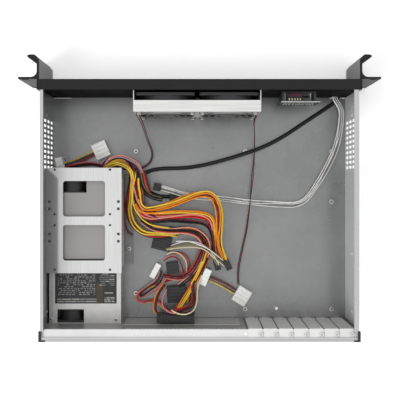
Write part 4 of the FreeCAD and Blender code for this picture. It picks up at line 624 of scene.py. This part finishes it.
# Each stray wire or thin bundle: its width, wire diameter, colours and points.
LOOSE_WIRES = {
    "trunk_1": (2.1, 2.1, "yellow", [
        (96, -54, 31), (95, -46.5, 30), (97, -35.5, 28), (97.5, -27, 27), (99, -12, 25),
        (100.5, 0.5, 24), (99, 14, 23.5), (95, 23.5, 23), (89, 30, 23), (81.5, 35, 23),
        (73, 36.5, 23), (56, 36.5, 23), (43.5, 37, 22), (32, 39, 19),
    ]),
    "trunk_2": (2.1, 2.1, "yellow", [
        (93.5, -54, 32), (92.5, -44, 30.5), (95.5, -31.5, 29.5), (95.5, -16, 28), (97, -3, 27),
        (95.5, 9.5, 26), (91, 20.5, 25.5), (84.5, 27.5, 25), (78, 32, 25), (67.5, 33.5, 24.5),
        (53, 34, 24), (39, 35.5, 23), (26.5, 34.5, 23.5), (13.5, 32, 24), (3, 35, 24.5),
        (-5, 43, 24.5), (-9, 55, 23.5), (-7, 68, 22.5), (-0.5, 82.5, 21.5), (6, 95.5, 20),
        (11.5, 107, 18.5), (15, 120, 16), (16.5, 132, 12),
    ]),
    "trunk_3": (2.1, 2.1, "yellow", [
        (90, -52, 32), (90.5, -44, 31.5), (93, -34, 31), (94, -24.5, 30.5), (94.5, -15, 30),
        (93, -5.5, 29.5), (90, 2, 28.5), (85, 9.5, 27), (78.5, 16.5, 26), (69, 22.5, 25),
        (56, 25, 24.5), (42, 27, 24),
    ]),
    "salmon_top": (2, 2, "salmon", [
        (67.5, 25, 22), (53.5, 27.5, 23), (39, 28, 25), (27.5, 26.5, 26), (17.5, 26, 26.5),
        (9, 26.5, 26.5), (1.5, 29.5, 27), (-6, 35, 27.5), (-11.5, 41, 27), (-15, 50, 26),
        (-14, 61, 24), (-10, 74, 22), (-4.5, 87, 20.5), (1.5, 98.5, 19.5), (3.5, 110, 18.5),
        (2, 121.5, 17.5), (3.5, 132.5, 19), (7, 142, 22),
    ]),
    "lower_reds": (4.8, 1.9, "red black brown salmon black maroon", [
        (83.5, 17, 20), (73.5, 25, 21.5), (62, 29.5, 22.5), (47.5, 31, 23.3), (32, 31, 24.3),
        (17.5, 31.5, 25), (6.5, 34.5, 25.5), (-1.5, 40, 25.5), (-6, 48.5, 24.8), (-6, 59.5, 23.6),
        (-2, 71.5, 22.5), (4, 84, 21.2), (12, 95.5, 20), (21.5, 103.5, 18.8), (29.5, 110, 17),
    ]),
    "inner_dark": (4.6, 1.9, "black brown black olive navy", [
        (85, -52.5, 26), (83.5, -41.5, 24), (86, -27, 21), (89.5, -13, 20), (90.5, 0, 20),
        (86, 11.5, 19.8), (77.5, 20.5, 19.5), (66.5, 26.5, 19.5), (52, 29, 20), (36.5, 30, 20.6),
        (23.5, 31, 21),
    ]),
    "amber_1": (4.2, 2.1, "orange yellow", [
        (85.5, -44, 30), (85.5, -31, 30.5), (83, -22.5, 31.5), (83.5, -13, 32.5),
        (81.5, -5.5, 33.5), (75.5, -0.5, 34), (67.5, -1.5, 34.3), (55, -4, 34.8), (44, -6.5, 35.5),
        (31.5, -10.5, 36.6), (14, -17.5, 37.5), (-0.5, -22.5, 37.6), (-12, -23.5, 37),
        (-20.5, -19, 36.6), (-27, -9, 36), (-30, 6.5, 35), (-29.5, 26.5, 33), (-28, 43.5, 30),
        (-31, 58, 25), (-38, 72, 18),
    ]),
    "amber_2": (4.2, 2.1, "orange maroon", [
        (82.5, -33, 28), (79.5, -23.5, 28.8), (79.5, -14, 30), (78, -6, 31), (73, -1, 31.7),
        (64, 0.5, 32), (51.5, -1.5, 32.5), (40, -4.5, 33.3), (26.5, -9, 34), (11, -15, 34.6),
        (-1.5, -18.5, 34.6), (-11, -18.5, 34.2), (-18.5, -14, 33.8), (-23, -4, 33.3),
        (-25, 11, 32.3), (-25.5, 28, 30.6), (-25.5, 43.5, 28), (-28, 56.5, 24), (-34.5, 70, 18),
    ]),
    "middle_top": (4, 2.1, "yellow orange", [
        (90, -8, 29.5), (87, 0, 31), (79.5, 4.5, 31.8), (67, 6, 32), (53, 5, 32), (33.5, 4, 32),
        (12, 4.5, 31.4), (-5, 6, 30.4), (-15.5, 10, 28.6), (-21, 19, 26.4), (-22.5, 34, 23.6),
        (-20.5, 52.5, 20), (-23.5, 69, 15),
    ]),
    "middle_reds": (4.8, 2, "red pink red salmon red", [
        (86.5, -6, 26), (84.5, 2.5, 27.5), (78.5, 8.5, 28.8), (68.5, 12, 29.6), (55.5, 11.5, 30),
        (39, 10, 30.2), (22, 9, 29.8), (8, 9, 29.2), (-5.5, 11, 28), (-14.5, 16, 26),
        (-18.5, 27, 23.8), (-19, 41, 20.6), (-18, 56, 16.6), (-21.5, 69, 13),
    ]),
    "middle_dark": (5.2, 1.9, "black navy black maroon black", [
        (84.5, 4, 23), (78.5, 12.5, 24), (69, 17.5, 25), (56, 17, 25.8), (36, 16, 26.2),
        (16.5, 17.5, 25.8), (-0.5, 18.5, 24.6), (-12.5, 23, 24), (-18, 34.5, 24.4), (-19.5, 48, 22),
        (-20.5, 63, 17.6),
    ]),
    "side_reds": (4.4, 1.9, "pink red maroon salmon", [
        (80.5, -55, 25), (77.5, -45.5, 24), (75.5, -36.5, 21.5), (72.5, -28.5, 17),
        (70.5, -21.5, 11),
    ]),
    "side_pale": (4, 1.7, "white black olive black", [
        (86, -54.5, 30), (84.5, -45.5, 29.4), (82.5, -35.5, 27.6), (79, -26.5, 23.4),
        (72.5, -20, 17), (64, -15.5, 11), (54, -14, 7),
    ]),
    "front_yellow": (3.6, 2.1, "yellow yellow", [
        (129, -57.5, 26), (122.5, -62, 30.5), (115, -63.5, 34.5), (107, -61, 36.5),
        (100, -57, 36.8), (95.5, -51.5, 35), (95, -42.5, 32.4),
    ]),
    "front_arc": (4.8, 1.7, "grey rose olive black pink black", [
        (137, -60, 24), (131.5, -67.5, 29), (122, -73, 33), (111, -74.5, 36), (100.5, -71, 37.4),
        (91, -65.5, 37), (85, -59.5, 35), (83, -51, 31.4),
    ]),
    "front_dark": (4.4, 1.8, "black maroon grey black pink", [
        (197, -59.5, 7), (184, -61.5, 7.6), (169, -64.5, 9), (156, -65.5, 12), (143.5, -63.5, 17),
        (134, -60, 23),
    ]),
    "rose_loop": (3, 1.6, "rose maroon", [
        (99.5, -30, 20), (103.5, -15.5, 17), (106.5, -3, 14), (108.5, 10, 11.4), (108.5, 21, 9),
        (106.5, 29.5, 7), (103, 36, 5), (97.5, 39, 4),
    ]),
    "thin_white": (1.5, 1.5, "white", [
        (33.5, 46, 22), (23, 45, 25), (11.5, 46, 29), (0.5, 50, 32), (-9, 53.5, 32), (-17, 59, 30),
        (-26, 66.5, 25), (-34, 73.5, 19),
    ]),
    "thin_cream": (3, 1.6, "cream olive", [
        (47.5, 57.5, 12), (36.5, 54.5, 16), (23.5, 53.5, 20), (10, 52.5, 25), (-2, 53.5, 29.6),
        (-11.5, 58.5, 29.6), (-19.5, 67, 26), (-28, 75, 21), (-35.5, 81, 15.6),
    ]),
    "thin_yellow": (1.7, 1.7, "cream", [
        (47, 65.5, 10), (41.5, 62.5, 10.6), (36, 62, 11), (29, 64, 11.4), (22.5, 69.5, 11.6),
        (19, 76, 12), (18, 84, 12.4), (19, 93, 12),
    ]),
    "thin_pink": (2.6, 1.6, "pink maroon", [
        (51.5, 73.5, 10), (46.5, 69, 12), (39.5, 67, 13.4), (32, 69, 14), (27.5, 75, 14),
        (25, 83.5, 13), (24, 92, 11),
    ]),
    "centre_reds": (5.4, 1.9, "pink red black maroon red salmon black", [
        (52.5, 97, 15), (43.5, 98, 16), (32, 99, 18), (20, 96, 20.4), (10.5, 88.5, 22.6),
        (4.5, 78.5, 23.8), (-0.5, 67.5, 24.4), (-4.5, 57, 25),
    ]),
    "tip_loop": (4.2, 1.9, "pink rose pink black", [
        (50, 97.5, 16), (51.5, 104.5, 15.4), (60, 112.5, 14), (71, 120, 12), (80, 126, 10),
        (86, 127.5, 8.6), (87, 122, 9), (80.5, 116, 10.6), (71, 109, 12.4), (63, 103.5, 13.6),
        (57.5, 97.5, 13), (56, 89.5, 11),
    ]),
    "loop_pink": (2, 2, "pink", [
        (46.5, 114.5, 24), (51, 121, 28), (52.5, 128, 33), (52, 134, 39), (48, 138.5, 45),
        (42, 142, 51), (33.5, 142.5, 56),
    ]),
    "loop_yellow": (2, 2, "cream", [
        (38.5, 138, 54), (33, 141.5, 58.6), (23, 143.5, 59.4), (15, 142.5, 58.6), (8, 139, 54),
        (4.5, 133, 47), (3, 124.5, 39), (3, 114.5, 31), (1, 104.5, 25), (-3.5, 94, 21),
    ]),
    "loop_rose": (4.4, 1.9, "pink maroon orange orange black", [
        (50.5, 107, 18), (57, 115, 22), (61.5, 125, 27), (63, 133, 33), (63.5, 139.5, 39),
        (61, 144, 43),
    ]),
    "loop_red": (4.4, 2, "red black red maroon", [
        (6, 102.5, 20), (10, 111.5, 21), (7.5, 119.5, 24), (7.5, 128, 30), (10, 134, 36),
        (17, 136.5, 41), (24.5, 138.5, 44), (32.5, 140, 47),
    ]),
    "fan_yellow": (4.8, 2, "yellow orange black yellow black", [
        (-10.5, 61, 22), (-7.5, 72.5, 22), (-2, 84.5, 21), (4, 97, 20), (10, 107, 19),
        (14.5, 115.5, 18), (15.5, 124.5, 16), (17.5, 133.5, 13),
    ]),
}


def spline_points(name, route):
    """The smooth line of a route, read from its NURBS spline."""
    data = bpy.data.curves.new(f"{name}_line", "CURVE")
    data.dimensions = "3D"
    data.resolution_u = 10
    spline = data.splines.new("NURBS")
    spline.points.add(len(route) - 1)
    for point, place in zip(spline.points, route):
        point.co = (*[value * MM for value in place], 1)
    spline.order_u = 3
    spline.use_endpoint_u = True
    line = bpy.data.objects.new(f"{name}_line", data)
    mesh = bpy.data.meshes.new_from_object(line)
    points = [vertex.co.copy() for vertex in mesh.vertices]
    bpy.data.objects.remove(line)
    bpy.data.meshes.remove(mesh)
    return points


def frames_along(points):
    """The direction, the level side and the upward normal at each point of a line."""
    frames, side = [], Vector((1, 0, 0))
    for k, point in enumerate(points):
        way = (points[min(k + 1, len(points) - 1)] - points[max(k - 1, 0)]).normalized()
        level = way.cross(Vector((0, 0, 1)))
        if level.length > 0.2:
            side = level.normalized()
        side = (side - way * side.dot(way)).normalized()
        frames.append((point, way, side, side.cross(way)))
    return frames


def add_tube(bm, points, radius, slot, sides=8):
    """A round tube along points, closed at both ends."""
    rings = []
    for point, _, side, up in frames_along(points):
        rings.append(ring_round(bm, point, side, up, radius, sides))
    join_rings(bm, rings, slot)
    for ring in (rings[0][::-1], rings[-1]):
        bm.faces.new(ring).material_index = slot


# A bundle's half width is LOOSE times its cord's radius and SPARE mm more; FLAT is its height's
# share of its width. Its wires turn and drift this far, over stretches in metres.
LOOSE, SPARE, FLAT = 1.35, 1.0, 0.8
ROUND_TURN, FLAT_TURN, TURN_STRETCH = 1.6, 0.35, 0.09
DRIFT, DRIFT_STRETCH = 0.35, 0.05
FLAT_BUNDLES = ("adaptor_wires_a_wires", "adaptor_wires_b_wires", "panel_wires_wires")


def packed(count, flat):
    """Places for wires in a round bundle of radius 1, or side by side in a flat one."""
    if flat:
        return [(2.0 * k / (count - 1) - 1.0, 0.0) for k in range(count)]
    places = []
    for k in range(count):
        distance = math.sqrt((k + 0.5) / count)
        angle = k * math.pi * (3 - math.sqrt(5))
        places.append((distance * math.cos(angle), distance * math.sin(angle)))
    return places


def wander(rng, length, step):
    """A slow smooth change between -1 and 1 along a length."""
    knots = [rng.uniform(-1, 1) for _ in range(int(length / step) + 3)]

    def value(distance):
        index, share = divmod(distance / step, 1)
        share = share * share * (3 - 2 * share)
        first, second = knots[int(index)], knots[int(index) + 1]
        return first + (second - first) * share

    return value


def add_strands(name, line, width, wire, colors):
    """Separate wires laid loosely round a line, kept above the floor, as one piece."""
    colors = colors.split()
    frames = frames_along(line)
    along = [0.0]
    for first, second in zip(line, line[1:]):
        along.append(along[-1] + (second - first).length)
    rng = random.Random(name)
    bm = bmesh.new()
    room = max(0.0, (LOOSE * width / 2 + SPARE - wire / 2) * MM) if len(colors) > 1 else 0.0
    floor = (FLOOR_LEVEL + wire / 2) * MM
    twist = wander(rng, along[-1], TURN_STRETCH)
    flat = name in FLAT_BUNDLES
    most = FLAT_TURN if flat else ROUND_TURN
    for k, (x, y) in enumerate(packed(len(colors), flat)):
        drift_x = wander(rng, along[-1], DRIFT_STRETCH)
        drift_y = wander(rng, along[-1], DRIFT_STRETCH)
        points = []
        for (point, _, side, up), distance in zip(frames, along):
            turn = most * twist(distance)
            across = x * math.cos(turn) - y * math.sin(turn) + DRIFT * drift_x(distance)
            rise = x * math.sin(turn) + y * math.cos(turn) + DRIFT * drift_y(distance)
            reach = math.hypot(across, rise)
            shrink = room / max(1.0, reach)
            place = point + side * across * shrink + up * rise * shrink * FLAT
            place.z = max(place.z, floor)
            points.append(place)
        add_tube(bm, points, wire / 2 * MM, k)
    return finish_mesh(name, bm, [WIRES[color] for color in colors]), along[-1]


# ---- plugs

# Each plug node: rows and columns of wells, and the material, of each of its solids.
PLUGS = {
    "usb_plug": [(2, 5, "plug")],
    "panel_plug": [(2, 4, "plug")],
    "processor_plug_1": [(2, 2, "plug")],
    "processor_plug_2": [(2, 2, "plug")],
    "board_plug": [(2, 12, "plug")],
    "adaptor_plugs_a": [(1, 4, "white_plug"), (1, 4, "white_plug")],
    "adaptor_plugs_b": [(1, 4, "white_plug"), (1, 4, "white_plug")],
    "drive_plugs": [(1, 5, "plug"), (2, 3, "plug"), (1, 5, "plug"), (1, 3, "white_plug")],
}
PLUG_EDGE = 0.3  # the bevel of a housing's edges, in mm
WELL_WALL, WELL_TAPER, WELL_DEPTH = 0.28, 0.02, 0.35  # shares of the pitch, and of the length
RIB_GAP, RIB_TAPER, RIB_HEIGHT = 0.16, 0.05, 0.5  # shares of the pitch, and mm


def add_connector(bm, box, rows, columns):
    """A housing with a grid of wells in its end face and ribs along its top and bottom."""
    middle, along, across, height = box
    spans = (along, across, Vector((0, 0, height)))
    counts = (1, columns, rows)
    corners = {}

    def corner(*steps):
        if steps not in corners:
            shares = [step / count - 0.5 for step, count in zip(steps, counts)]
            place = sum((span * share for span, share in zip(spans, shares)), middle.copy())
            corners[steps] = bm.verts.new(place)
        return corners[steps]

    sides = {}
    for axis in range(3):
        first, second = [a for a in range(3) if a != axis]
        for end in (0, counts[axis]):
            cells = []
            for i in range(counts[first]):
                for j in range(counts[second]):
                    loop = []
                    for di, dj in ((0, 0), (1, 0), (1, 1), (0, 1)):
                        steps = [0, 0, 0]
                        steps[axis], steps[first], steps[second] = end, i + di, j + dj
                        loop.append(corner(*steps))
                    cells.append(bm.faces.new(loop))
            sides[axis, end > 0] = cells
    bmesh.ops.recalc_face_normals(bm, faces=[face for cells in sides.values() for face in cells])
    pitch = min(across.length / columns, height / rows)

    def inset(faces, share, depth=0.0, even=False):
        bmesh.ops.inset_individual(
            bm, faces=faces, thickness=pitch * share, depth=depth, use_even_offset=even
        )

    inset(sides[0, True], WELL_WALL, even=True)
    inset(sides[0, True], WELL_TAPER, -along.length * WELL_DEPTH)
    for key in ((2, True), (2, False)):
        inset(sides[key], RIB_GAP)
        inset(sides[key], RIB_TAPER, -RIB_HEIGHT * MM)


def add_plugs(name, cable_end=None):
    """A plug node's housings; each opens away from the end of its cable."""
    bm = bmesh.new()
    keys = sorted({key for _, _, key in PLUGS[name]})
    for (middle, first, second, height), (rows, columns, key) in zip(boxes_of(name), PLUGS[name]):
        away = middle - cable_end if cable_end else first
        along, across = sorted((first, second), key=lambda edge: -abs(edge.normalized().dot(away)))
        if along.dot(away) < 0:
            along = -along
        before = set(bm.faces)
        add_connector(bm, (middle, along, across, height), rows, columns)
        for face in set(bm.faces) - before:
            face.material_index = keys.index(key)
    piece = finish_mesh(f"{name}_housing", bm, [MATERIALS[key] for key in keys])
    bevelled(piece, PLUG_EDGE)
    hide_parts(name)
    return piece


def add_cords():
    """The cords that the frame holds, each with its plugs."""
    for name, (width, wire, colors, far_end, plug_names) in CORDS.items():
        line = spline_points(name, ROUTES[name])
        piece, length = add_strands(f"{name}_wires", line, width, wire, colors)
        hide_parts(name)
        [add_plugs(plug, line[-1]) for plug in plug_names]
    add_plugs("drive_plugs")


def add_loose_wires():
    """The single wires and thin bundles that stray from the cords they belong to."""
    for name, (width, wire, colors, route) in LOOSE_WIRES.items():
        line = spline_points(name, route)
        piece, length = add_strands(name, line, width, wire, colors)


# ---- screws

# A pan head's side view: shares of its radius, and of its height below the crown.
HEAD_PROFILE = [(1.0, -1.0), (1.0, -0.45), (0.93, -0.2), (0.8, -0.05), (0.66, 0.0)]
HEAD_SIDES = 24

# Each node of screws: the way its heads face, their radius and height, and the material.
SCREWS = {
    "fan_screws": ((0, 1, 0), 3.3, 2.0, "screw"),
    "case_screws": ((0, 0, 1), 3.3, 2.0, "pale_screw"),
}


def add_screw(bm, top, axis, radius, height):
    """A pan head with a cross recess; top is the middle of its crown."""
    to_world = Matrix.Translation(top) @ axis.to_track_quat("Z", "Y").to_matrix().to_4x4()
    rings = []
    for share, level in HEAD_PROFILE:
        ring = []
        for k in range(HEAD_SIDES):
            angle = 2 * math.pi * k / HEAD_SIDES
            place = (share * radius * math.cos(angle), share * radius * math.sin(angle))
            ring.append(bm.verts.new(to_world @ Vector((*place, level * height))))
        rings.append(ring)
    join_rings(bm, rings)
    arm, reach = 0.14 * radius, 0.5 * radius
    taper, depth = 0.7, 0.6 * height
    corner = [(reach, -arm), (reach, arm), (arm, arm)]
    turns = ((1, 0), (0, 1), (-1, 0), (0, -1))
    cross = [(x * c - y * s, x * s + y * c) for c, s in turns for x, y in corner]
    lip = [bm.verts.new(to_world @ Vector((x, y, 0))) for x, y in cross]
    pit = [bm.verts.new(to_world @ Vector((x * taper, y * taper, -depth))) for x, y in cross]
    following = [(k + 1) % len(cross) for k in range(len(cross))]
    edges = [bm.edges.new((lip[k], lip[after])) for k, after in enumerate(following)]
    crown = rings[-1]
    edges += [bm.edges.get((crown[k], crown[(k + 1) % HEAD_SIDES])) for k in range(HEAD_SIDES)]
    bmesh.ops.bridge_loops(bm, edges=edges)
    for k, after in enumerate(following):
        bm.faces.new((lip[k], lip[after], pit[after], pit[k]))
    bm.faces.new(pit)
    bm.faces.new(rings[0][::-1])


def add_screws():
    """Detailed heads in place of the solids of each node of screws."""
    for name, (way, radius, height, key) in SCREWS.items():
        way = Vector(way)
        bm = bmesh.new()
        for points in islands(name):
            low = [min(p[k] for p in points) for k in range(3)]
            high = [max(p[k] for p in points) for k in range(3)]
            middle = (Vector(low) + Vector(high)) / 2
            crown = max(p.dot(way) for p in points)
            top = middle + way * (crown - middle.dot(way))
            add_screw(bm, top, way, radius * MM, height * MM)
        piece = finish_mesh(f"{name}_heads", bm, [MATERIALS[key]])
        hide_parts(name)


def add_lid_screws():
    """The two pan heads at the supply's rear corners, on its lid and on its rim."""
    lid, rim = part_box("psu_cover"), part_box("psu_shell")
    radius, height, inset = 2.6 * MM, 1.4 * MM, 5.5 * MM
    places = [(lid[0].x + 7 * MM, lid[1].z), (rim[1].x - 3.2 * MM, rim[1].z)]
    bm = bmesh.new()
    for x, seat in places:
        top = Vector((x, lid[1].y - inset, seat + height))
        add_screw(bm, top, Vector((0, 0, 1)), radius, height)
    finish_mesh("lid_screw_heads", bm, [MATERIALS["screw"]])


# ---- print and small fittings

WORD_SHARE = 0.86  # how many of the print's words are there
WORD_HEIGHT = 0.04  # how far the print stands off the label, in mm


def print_rows(bm, rng, x, y, top, pitch, slots, words, share=0.5, gap=0.9):
    """Rows of short bars that stand for print, each bar as long as a word."""
    row = y[1]
    while row - pitch >= y[0]:
        left = x[0]
        while left < x[1] - words[0]:
            right = min(x[1], left + rng.uniform(*words))
            if rng.random() < WORD_SHARE:
                span = (row - pitch * share, row)
                add_slab(bm, (left, right), span, (top, top + WORD_HEIGHT), rng.choice(slots))
            left = right + gap
        row -= pitch


def add_label():
    """The supply's printed plate: rows of print, a table, pale boxes and a brown field."""
    low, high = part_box("psu_cover")
    right, left, back = low.x / MM + 6, high.x / MM - 2.5, high.y / MM - 27.5
    top = high.z / MM
    level = top + 0.15
    rng = random.Random(8)
    bm = bmesh.new()
    add_slab(bm, (right, left), (back - 62, back), (top, level))

    def rows(x, front, rear, pitch, slots, words, **settings):
        y = (back - front, back - rear)
        print_rows(bm, rng, x, y, level, pitch, slots, words, **settings)

    bar, pale, brown, grey = range(1, 5)
    rows((right + 3, left - 3), 60, 52, 2.5, (bar, bar, grey), (3, 12))
    rows((right + 3, left - 3), 50, 47, 2.6, (bar, grey), (6, 16))
    rows((right + 3, right + 24), 45, 25, 2.6, (bar, pale), (3, 9))
    rows((right + 30, left - 4), 46, 12, 2.7, (bar, grey, grey), (1.5, 4.5), gap=1.6)
    rows((right + 5, right + 17), 24, 14, 3.4, (pale,), (9, 12), share=0.42)
    rows((right + 28, left - 3), 9, 2, 3.2, (pale, pale, grey), (5, 16))
    rows((right + 3, right + 17), 10, 2, 2.6, (pale, pale, bar), (2, 8), share=0.62)
    add_slab(bm, (right + 19, right + 28), (back - 28, back - 1), (level, level + 0.03), brown)
    finish_mesh("supply_label", bm, LABEL)


def add_notch_light_strips():
    """The floor's edges in the front panel's two lower corners, as pale strips of painted light from
    the notches there.
    """
    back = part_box("front_panel")[1].y / MM
    bm = bmesh.new()
    for x in ((-211.0, -189.0), (185.5, 211.0)):
        add_slab(bm, x, (back + 0.2, back + 1.4), (FLOOR_LEVEL, FLOOR_LEVEL + 1.0))
    finish_mesh("notch_light_strips", bm, [MATERIALS["pale_edge"]])


def add_cone(bm, base, tip, wide, narrow, sides=10):
    """A short tapered round post with a closed tip."""
    rings = []
    for (point, _, side, up), radius in zip(frames_along([base, tip]), (wide, narrow)):
        rings.append(ring_round(bm, point, side, up, radius, sides))
    join_rings(bm, rings)
    bm.faces.new(rings[1])
    bm.faces.new(rings[0][::-1])


def add_solder_joints():
    """Rows of solder joints behind the front board, every second row with gaps."""
    low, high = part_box("io_board")
    x_low, x_high, back = low.x / MM, high.x / MM, high.y / MM
    edge, last, height = 6, 10, 1.6
    rng = random.Random(5)
    bm = bmesh.new()
    for row, z in enumerate((42.0, 46.0, 52.0, 60.0, 66.0)):
        for k in range(last + 1):
            x = x_low + edge + (x_high - x_low - 2 * edge) * k / last + rng.uniform(-0.6, 0.6)
            if row % 2 and k % 3 == 0:
                continue
            base, tip = Vector((x, back, z)) * MM, Vector((x, back + height, z)) * MM
            add_cone(bm, base, tip, 1.1 * MM, 0.35 * MM)
    finish_mesh("solder_joints", bm, [MATERIALS["screw"]])


def add_socket_shell():
    """The sockets' shells and pins before the front board, and its pale posts and edge."""
    low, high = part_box("io_board")
    x_low, x_high, back, high_edge = low.x / MM, high.x / MM, high.y / MM, high.z / MM
    low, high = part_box("usb_ports")
    top, x, y = high.z / MM, (low.x / MM, high.x / MM), (low.y / MM, high.y / MM)
    keys = ("shell_pink", "shell_wine", "pin", "pale_edge")
    pink, wine, pin, pale = range(len(keys))
    bm = bmesh.new()
    add_slab(bm, (x[0] + 2, x[1] - 2), (y[0] + 12, y[0] + 15), (top, top + 0.4), pink)
    add_slab(bm, (x[0] + 1, x[1] - 1), (y[0] + 15.5, y[0] + 19.5), (top, top + 0.3), wine)
    for k in range(5):
        left = x[0] + 2.5 + 3.8 * k
        add_slab(bm, (left, left + 1.6), (y[1] - 5, y[1] - 0.4), (top - 0.2, top + 0.5), pin)
    for share in (0.13, 0.79):
        middle = x_high - share * (x_high - x_low)
        post = (middle - 0.8, middle + 0.8)
        add_slab(bm, post, (y[1] - 13, y[1] - 0.5), (top - 0.4, top + 0.6), pale)
    edge = (high_edge - 0.9, high_edge + 0.2)
    add_slab(bm, (x_low, x_high), (back - 0.2, back + 0.5), edge, pale)
    finish_mesh("socket_shell", bm, [MATERIALS[key] for key in keys])


# ---- the scene

add_camera()
add_world()
add_lamp("key", place=(1.1, 0.7, 1.6), size=0.9, power=17)
add_floor()
dress_nodes()
add_cords()
add_loose_wires()
add_screws()
add_label()
add_solder_joints()
add_socket_shell()
add_lid_screws()
add_notch_light_strips()

bpy.context.scene.view_settings.view_transform = "Standard"
